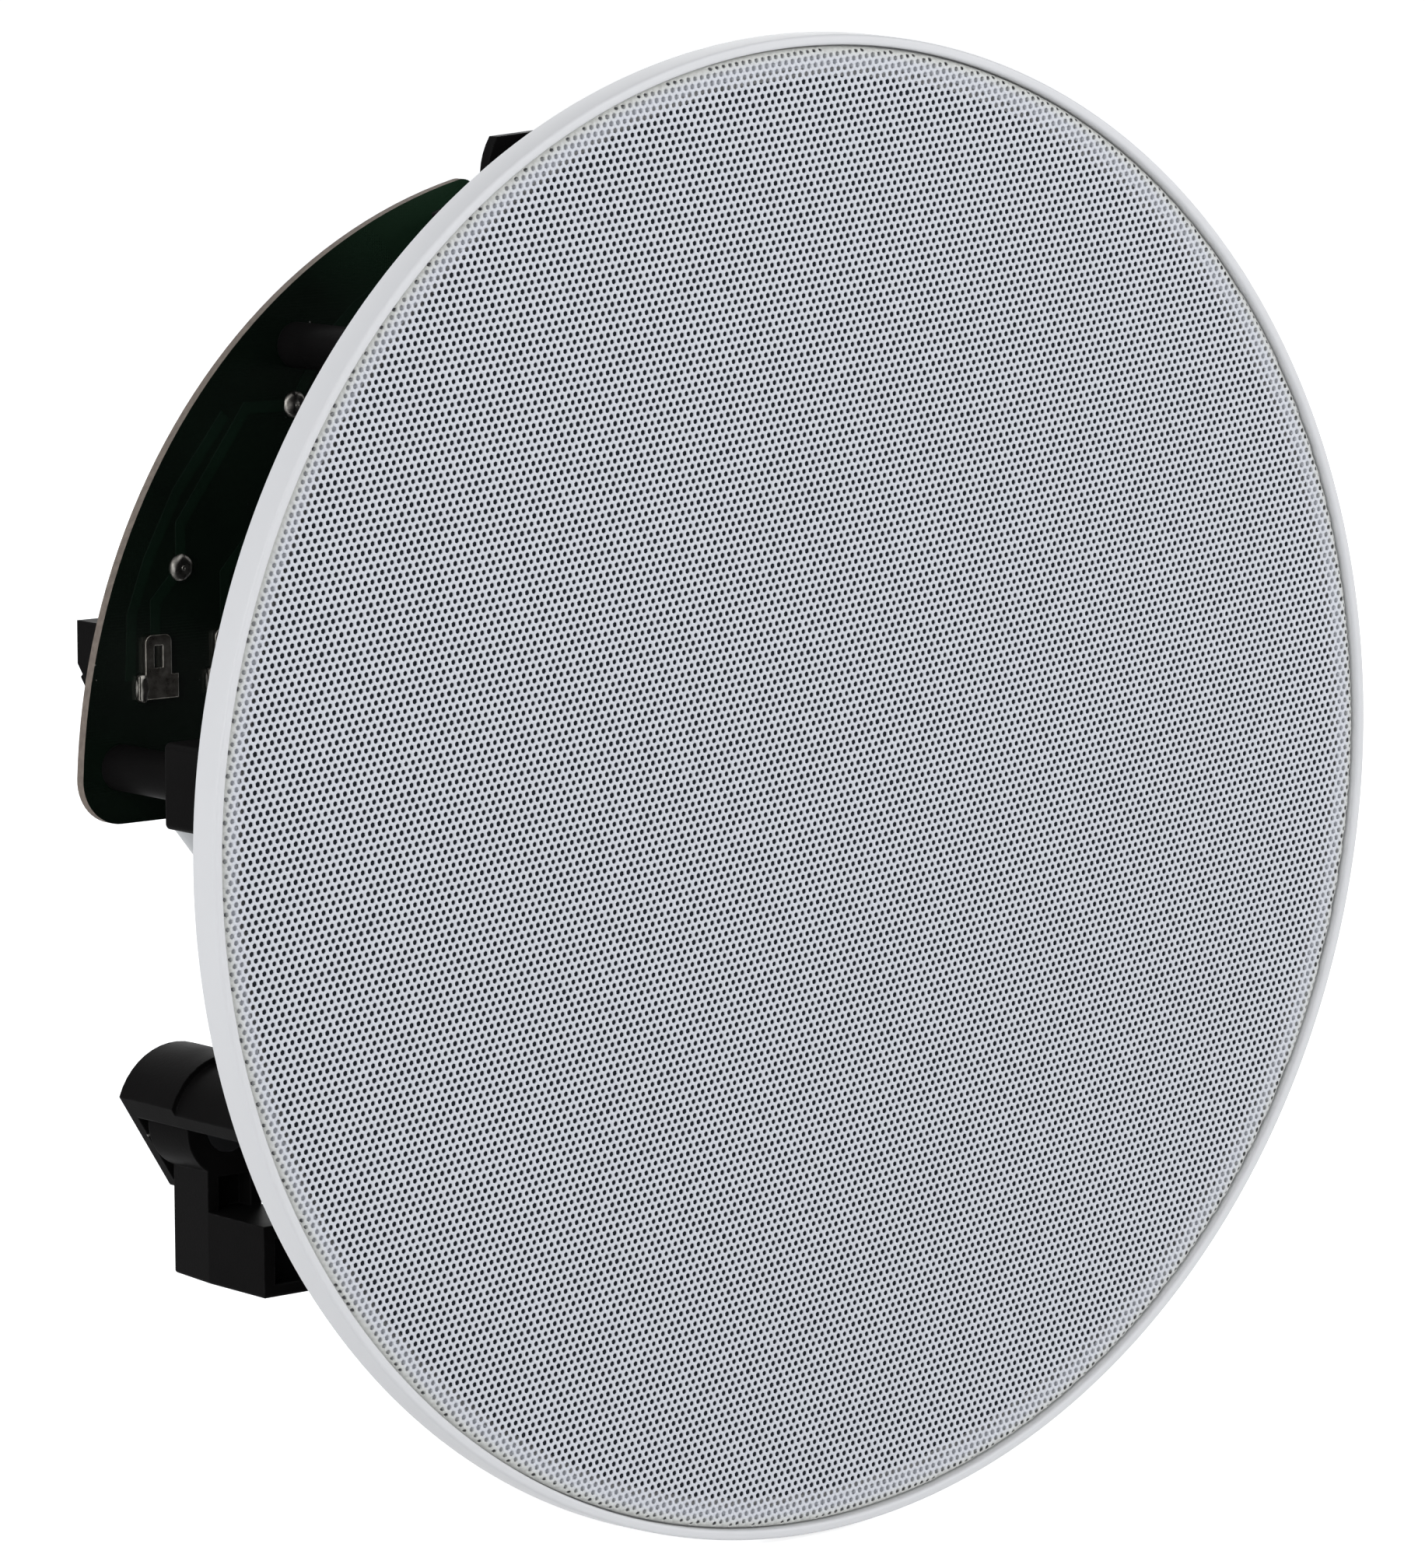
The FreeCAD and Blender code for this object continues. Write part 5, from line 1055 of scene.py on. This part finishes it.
# Crossover board: glass-fibre sheet with a dark green solder mask and a bare sawn edge.
# Copper tracks show as low ridges under the mask, and solder holds each lead that comes through.
BOARD_FRONT_Y = 57.4
MASK_GREEN = (0.0035, 0.0075, 0.0045)
# Painted glow: a lighter green for the mask towards the board's upper end, standing in for light that comes
# through and onto the board there.
MASK_GLOW_GREEN = (0.016, 0.042, 0.022)
GLOW_WAY = (0.8, 0.0, 0.6)
GLOW_START = 0.006
GLOW_FULL = 0.034
MASK_TRACK = (0.0045, 0.0125, 0.0070)
LAMINATE_TAN = (0.17, 0.138, 0.115)
TRACK_HEIGHT = 0.09
TRACK_WIDTH = 1.8
TRACK_MITRE_LIMIT = 0.5
TRACKS = (
    ((-79.3, 24.0), (-79.3, 29.5), (-74.5, 34.4), (-74.5, 41.0), (-62.0, 57.7), (-52.9, 57.7)),
    ((-66.3, 24.0), (-66.3, 33.0), (-61.5, 38.0), (-58.0, 38.0)),
    ((-52.9, 57.7), (-48.0, 66.0), (-41.0, 72.0), (-30.0, 78.0)),
    ((-84.0, 18.0), (-83.6, 28.0), (-80.5, 36.0), (-75.0, 46.0), (-66.0, 57.0)),
    ((-60.0, 22.0), (-60.0, 12.0), (-66.0, 6.0), (-66.0, 1.5)),
    ((-56.0, 34.0), (-62.0, 28.0), (-62.0, 24.0)),
    ((-28.0, 66.0), (-34.0, 60.0), (-40.0, 60.0)),
)
SOLDER_JOINTS = (
    (-74.5, 34.4), (-52.9, 57.7), (-58.0, 38.0), (-30.0, 78.0), (-44.0, 42.5), (-60.0, 22.0), (-66.0, 1.5),
    (-28.0, 66.0), (-56.0, 34.0), (-40.0, 60.0), (-55.5, 2.0))
SOLDER_GREY = (0.27, 0.26, 0.24)
LUMP_HEIGHT = 0.32
LUMP_FINENESS = 0.85
TAB_FRONT_Y = 56.6
TAB_FEET_LEFT = (-82.95, -69.95)
TAB_FOOT_LOW = 14.7
TAB_FOOT_HIGH = 18.8
FILLET_STEPS = 15
FILLET_END_SHARE = 0.45
FILLET_MIDDLE = 0.7
FILLET_PROFILE = (
    (-0.15, BOARD_FRONT_Y), (0.0, BOARD_FRONT_Y - 0.45), (0.35, TAB_FRONT_Y - 0.12),
    (0.95, TAB_FRONT_Y - 0.32), (1.6, TAB_FRONT_Y - 0.16), (2.0, TAB_FRONT_Y + 0.1))
JOINT_R = 2.1
JOINT_HEIGHT = 0.9
JOINT_STEPS = 8
JOINT_SIDES = 20
JOINT_SWELL = 0.7
JOINT_FOOT = 0.05
PIN_R = 0.45
PIN_HEIGHT = 1.05

green_board, tree, shader = new_material("green_board", 0.28, Specular_IOR_Level=0.5)
faces = add_node(tree, "ShaderNodeNewGeometry")
facing = add_node(tree, "ShaderNodeSeparateXYZ", {0: faces.outputs["Normal"]})
flatness = add_node(tree, "ShaderNodeMath", {0: facing.outputs["Y"]}, operation="ABSOLUTE")
sawn = spread(tree, flatness.outputs[0], 1.0, 0.0, 0.5, 0.7)
lacquer = use_group(tree, moulded_grain, Fineness=900.0, Patches=50.0)
fibres = use_group(tree, weave, Threads=700.0)
board_dust = use_group(tree, dust_flecks, Spacing=420.0, Share=0.10)
mask_tone = mottled(tree, lacquer.outputs["Tone"], MASK_GREEN, 0.8, 1.5)
# Painted glow: the mask turns a lighter green towards the board's upper end, for light shining through and
# onto it.
board_at = add_node(tree, "ShaderNodeTexCoord").outputs["Object"]
towards_end = add_node(tree, "ShaderNodeVectorMath", {0: board_at, 1: GLOW_WAY}, operation="DOT_PRODUCT")
painted_glow = spread(tree, towards_end.outputs["Value"], 0.0, 1.0, GLOW_START, GLOW_FULL)
mask_tone = tint(tree, painted_glow, mask_tone, MASK_GLOW_GREEN)
tan_tone = mottled(tree, lacquer.outputs["Height"], LAMINATE_TAN, 0.75, 1.15)
dusty_mask = tint(tree, board_dust.outputs["Mask"], mask_tone, FLECK_GREY)
connect(tree, shader,
        Base_Color=tint(tree, sawn, dusty_mask, tan_tone),
        Roughness=spread(tree, sawn, 0.24, 0.8, 0.0, 1.0),
        Normal=bumped(tree, fibres.outputs["Height"], 0.00001))
dress(green_board, "crossover_board")

track_copper, tree, shader = new_material("track_mask", 0.26, Specular_IOR_Level=0.5)
track_tone = use_group(tree, moulded_grain, Fineness=900.0, Patches=50.0)
connect(tree, shader,
        Base_Color=mottled(tree, track_tone.outputs["Tone"], MASK_TRACK, 0.8, 1.4),
        Normal=bumped(tree, track_tone.outputs["Height"], 0.00001))
tracks = bmesh.new()
for route in TRACKS:
    left_side, right_side = [], []
    for i, place in enumerate(route):
        ways = []
        if i > 0:
            ways.append((Vector(place) - Vector(route[i - 1])).normalized())
        if i < len(route) - 1:
            ways.append((Vector(route[i + 1]) - Vector(place)).normalized())
        along = sum(ways, Vector((0, 0))).normalized()
        half_width = 0.5 * TRACK_WIDTH / max(along.dot(ways[0]), TRACK_MITRE_LIMIT)
        sideways = Vector((-along.y, along.x)) * half_width
        for side, corner_list in ((1, left_side), (-1, right_side)):
            x, z = Vector(place) + side * sideways
            corner_list.append([tracks.verts.new((x * MM, y * MM, z * MM))
                                for y in (BOARD_FRONT_Y, BOARD_FRONT_Y - TRACK_HEIGHT)])
    for i in range(len(route) - 1):
        a, b, c, d = left_side[i], left_side[i + 1], right_side[i + 1], right_side[i]
        tracks.faces.new((a[1], b[1], c[1], d[1]))
        tracks.faces.new((a[0], b[0], b[1], a[1]))
        tracks.faces.new((d[0], c[0], c[1], d[1]))
    for end in (0, -1):
        tracks.faces.new((left_side[end][0], left_side[end][1], right_side[end][1], right_side[end][0]))
bmesh.ops.recalc_face_normals(tracks, faces=tracks.faces)
board_tracks = as_piece("board_tracks", tracks)
paint_piece(board_tracks, track_copper, "frame")

solder = bmesh.new()
for x, z in SOLDER_JOINTS:
    joint_profile = [(ON_AXIS, BOARD_FRONT_Y)]
    for step in range(JOINT_STEPS + 1):
        lean = 0.5 * math.pi * step / JOINT_STEPS
        reach = max(JOINT_R * math.cos(lean) ** JOINT_SWELL, PIN_R)
        joint_profile.append((reach, BOARD_FRONT_Y - JOINT_HEIGHT * math.sin(lean)))
    joint_profile += [(PIN_R, BOARD_FRONT_Y - PIN_HEIGHT), (ON_AXIS, BOARD_FRONT_Y - PIN_HEIGHT)]
    joint = turned_bmesh(joint_profile, JOINT_SIDES, x, z)
    joint.normal_update()
    for vert in joint.verts:
        if vert.co.y < (BOARD_FRONT_Y - JOINT_FOOT) * MM:
            lump = noise.noise(vert.co * LUMP_FINENESS / MM)
            vert.co += vert.normal * (LUMP_HEIGHT * lump * MM)
    spare = bpy.data.meshes.new("joint")
    joint.to_mesh(spare)
    joint.free()
    solder.from_mesh(spare)
    bpy.data.meshes.remove(spare)
for foot_left in TAB_FEET_LEFT:
    fillet_rows = []
    for step in range(FILLET_STEPS):
        share = step / (FILLET_STEPS - 1)
        z = TAB_FOOT_LOW + (TAB_FOOT_HIGH - TAB_FOOT_LOW) * share
        taper = FILLET_END_SHARE + (1 - FILLET_END_SHARE) * math.sin(math.pi * share) ** 0.5
        fillet_row = []
        for reach, y in FILLET_PROFILE:
            lump = noise.noise(Vector((reach, y, z + foot_left)) * LUMP_FINENESS)
            x = foot_left + FILLET_MIDDLE + (reach - FILLET_MIDDLE) * taper
            raised = y - LUMP_HEIGHT * lump * (BOARD_FRONT_Y - y)
            fillet_row.append(solder.verts.new((x * MM, raised * MM, z * MM)))
        fillet_row.append(solder.verts.new(((foot_left + FILLET_MIDDLE) * MM, BOARD_FRONT_Y * MM, z * MM)))
        fillet_rows.append(fillet_row)
    for this, following in zip(fillet_rows, fillet_rows[1:]):
        join_rings(solder, this, following)
    solder.faces.new(fillet_rows[0])
    solder.faces.new(fillet_rows[-1])
bmesh.ops.recalc_face_normals(solder, faces=solder.faces)
solder_joints = as_piece("solder_joints", solder, 60.0)
dull_solder = plated_metal("dull_solder", SOLDER_GREY, shaded(SOLDER_GREY, 0.4), 0.22, 0.48, 900.0)
paint_piece(solder_joints, dull_solder, "frame")


# Board screws, terminal block and spade tabs: two screws hold the board on its posts from behind.
# The block is a black moulding with sprung wire ways, and its tabs are soldered to the board's front.
BUTTON_RED = (0.42, 0.018, 0.016)

# The button's corners are painted a lighter red: partly wear, partly a painted highlight.
red_plastic = moulded_plastic("red_plastic", BUTTON_RED, shaded(BUTTON_RED, 1.4), 0.03)
dress(zinc_steel, "board_screws")
dress(black_plastic, "terminal_block", "terminal_button_black")
dress(red_plastic, "terminal_button_red")
dress(tinned_tags, "spade_tabs")


# Crossover parts: a pale film capacitor, a sleeved electrolytic, a copper coil on a bobbin and
# a ceramic resistor, all on the rear of the board with their leads bent through it.
FILM_PALE = (0.56, 0.57, 0.58)
SLEEVE_BLUE = (0.012, 0.016, 0.04)
CERAMIC_WHITE = (0.66, 0.65, 0.60)
LEAD_R = 0.4
WINDING_X = -51.8
WINDING_Z = 50.0
WINDING_R = 11.6
WINDING_BED_R = 10.9
WINDING_CORE_R = 6.1
WINDING_SEGMENTS = 64
WINDING_FRONT_Y = 60.5
WINDING_REAR_Y = 71.5
WINDING_WIRE_R = 0.5
WINDING_STEPS = 48
WINDING_SIDES = 10
BOBBIN_FRONT_Y = 59.0
BOBBIN_REAR_Y = 73.0
BOBBIN_FRONT_R = 12.5
BOBBIN_REAR_R = 12.0
BOBBIN_HUB_R = 6.0
BOBBIN_BORE_R = 4.0
BOBBIN_RIM_ROUND = 0.6
BOBBIN_BORE_ROUND = 0.4
BOBBIN_SEGMENTS = 96
LEADS = {
    "film_capacitor_leads": (
        ((-53.7, 66.0, -14.8), (-51.9, 66.0, -17.0), (-49.8, 63.0, -14.5),
         (-50.6, 60.6, -6.0), (-55.5, 59.0, 2.0)),
        ((-66.3, 66.0, 0.8), (-66.6, 65.5, 1.2), (-66.0, 59.0, 1.5))),
    "small_capacitor_leads": (
        ((-25.6, 64.0, 75.5), (-24.5, 63.4, 76.1), (-30.0, 59.0, 78.0)),
        ((-43.4, 64.0, 66.5), (-44.6, 63.0, 65.9), (-40.0, 59.0, 60.0))),
    "resistor_leads": (
        ((-67.2, 62.5, 48.7), (-66.4, 62.3, 50.1), (-66.0, 59.0, 45.0)),
        ((-76.8, 62.5, 31.3), (-77.5, 62.3, 30.1), (-74.5, 59.0, 34.4))),
}

pale_film = grained_finish("pale_film", FILM_PALE, (0.88, 1.0), (0.35, 0.55), 600.0, 120.0, 0.00003, 0.4)
dark_sleeve = grained_finish("dark_sleeve", SLEEVE_BLUE, (0.8, 1.3), (0.2, 0.35), 500.0, 150.0, 0.00002, 0.5)
dress(pale_film, "film_capacitor")
dress(dark_sleeve, "small_capacitor")

white_ceramic, tree, shader = new_material("white_ceramic", 0.7, Specular_IOR_Level=0.3)
cast = use_group(tree, moulded_grain, Fineness=1100.0, Patches=180.0)
chip = use_group(tree, edge_wear_and_highlight, Width=0.0005, Breaks=500.0)
cast_tone = mottled(tree, cast.outputs["Tone"], CERAMIC_WHITE, 0.85, 1.0)
connect(tree, shader,
        Base_Color=tint(tree, chip.outputs["Mask"], cast_tone, shaded(CERAMIC_WHITE, 0.7)),
        Normal=bumped(tree, cast.outputs["Height"], 0.00004))
dress(white_ceramic, "ceramic_resistor")

bobbin = turned_bmesh(softened([
    (BOBBIN_REAR_R, BOBBIN_REAR_Y, BOBBIN_RIM_ROUND), (BOBBIN_REAR_R, WINDING_REAR_Y, BOBBIN_RIM_ROUND),
    (BOBBIN_HUB_R, WINDING_REAR_Y, 0), (BOBBIN_HUB_R, WINDING_FRONT_Y, 0),
    (BOBBIN_FRONT_R, WINDING_FRONT_Y, BOBBIN_RIM_ROUND), (BOBBIN_FRONT_R, BOBBIN_FRONT_Y, BOBBIN_RIM_ROUND),
    (BOBBIN_BORE_R, BOBBIN_FRONT_Y, BOBBIN_BORE_ROUND), (BOBBIN_BORE_R, BOBBIN_REAR_Y, BOBBIN_BORE_ROUND)]),
    BOBBIN_SEGMENTS, WINDING_X, WINDING_Z)
coil_bobbin = as_piece("coil_bobbin", bobbin, 40.0)
paint_piece(coil_bobbin, black_plastic, "frame")
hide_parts("inductor_bobbin")

winding = turned_bmesh([
    (WINDING_CORE_R, WINDING_FRONT_Y), (WINDING_BED_R, WINDING_FRONT_Y),
    (WINDING_BED_R, WINDING_REAR_Y), (WINDING_CORE_R, WINDING_REAR_Y)],
    WINDING_SEGMENTS, WINDING_X, WINDING_Z)
wire_turns = (WINDING_REAR_Y - WINDING_FRONT_Y) / (2 * WINDING_WIRE_R) - 1
wire_rings = []
for step in range(int(wire_turns * WINDING_STEPS) + 1):
    turn = 2 * math.pi * step / WINDING_STEPS
    y = WINDING_FRONT_Y + WINDING_WIRE_R * (1 + 2 * step / WINDING_STEPS)
    ring = []
    for side in range(WINDING_SIDES):
        lean = 2 * math.pi * side / WINDING_SIDES
        radius = WINDING_R - WINDING_WIRE_R + WINDING_WIRE_R * math.cos(lean)
        ring.append(winding.verts.new((
            (WINDING_X + radius * math.cos(turn)) * MM, (y + WINDING_WIRE_R * math.sin(lean)) * MM,
            (WINDING_Z + radius * math.sin(turn)) * MM)))
    wire_rings.append(ring)
for this, following in zip(wire_rings, wire_rings[1:]):
    join_rings(winding, this, following)
winding.faces.new(wire_rings[0])
winding.faces.new(wire_rings[-1])
bmesh.ops.recalc_face_normals(winding, faces=winding.faces)
inductor_wire = as_piece("inductor_wire", winding, 60.0)
paint_piece(inductor_wire, copper, "frame")
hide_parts("inductor_winding")

for name, wires in LEADS.items():
    lead_curve = bpy.data.curves.new(name, "CURVE")
    lead_curve.dimensions = "3D"
    lead_curve.bevel_depth = LEAD_R * MM
    lead_curve.bevel_resolution = 3
    lead_curve.use_fill_caps = True
    for wire in wires:
        spline = lead_curve.splines.new("NURBS")
        spline.points.add(len(wire) - 1)
        for point, place in zip(spline.points, wire):
            point.co = (*(coordinate * MM for coordinate in place), 1.0)
        spline.order_u = 3
        spline.use_endpoint_u = True
    lead = bpy.data.objects.new(name, lead_curve)
    bpy.context.scene.collection.objects.link(lead)
    paint_piece(lead, tinned_tags, "frame")
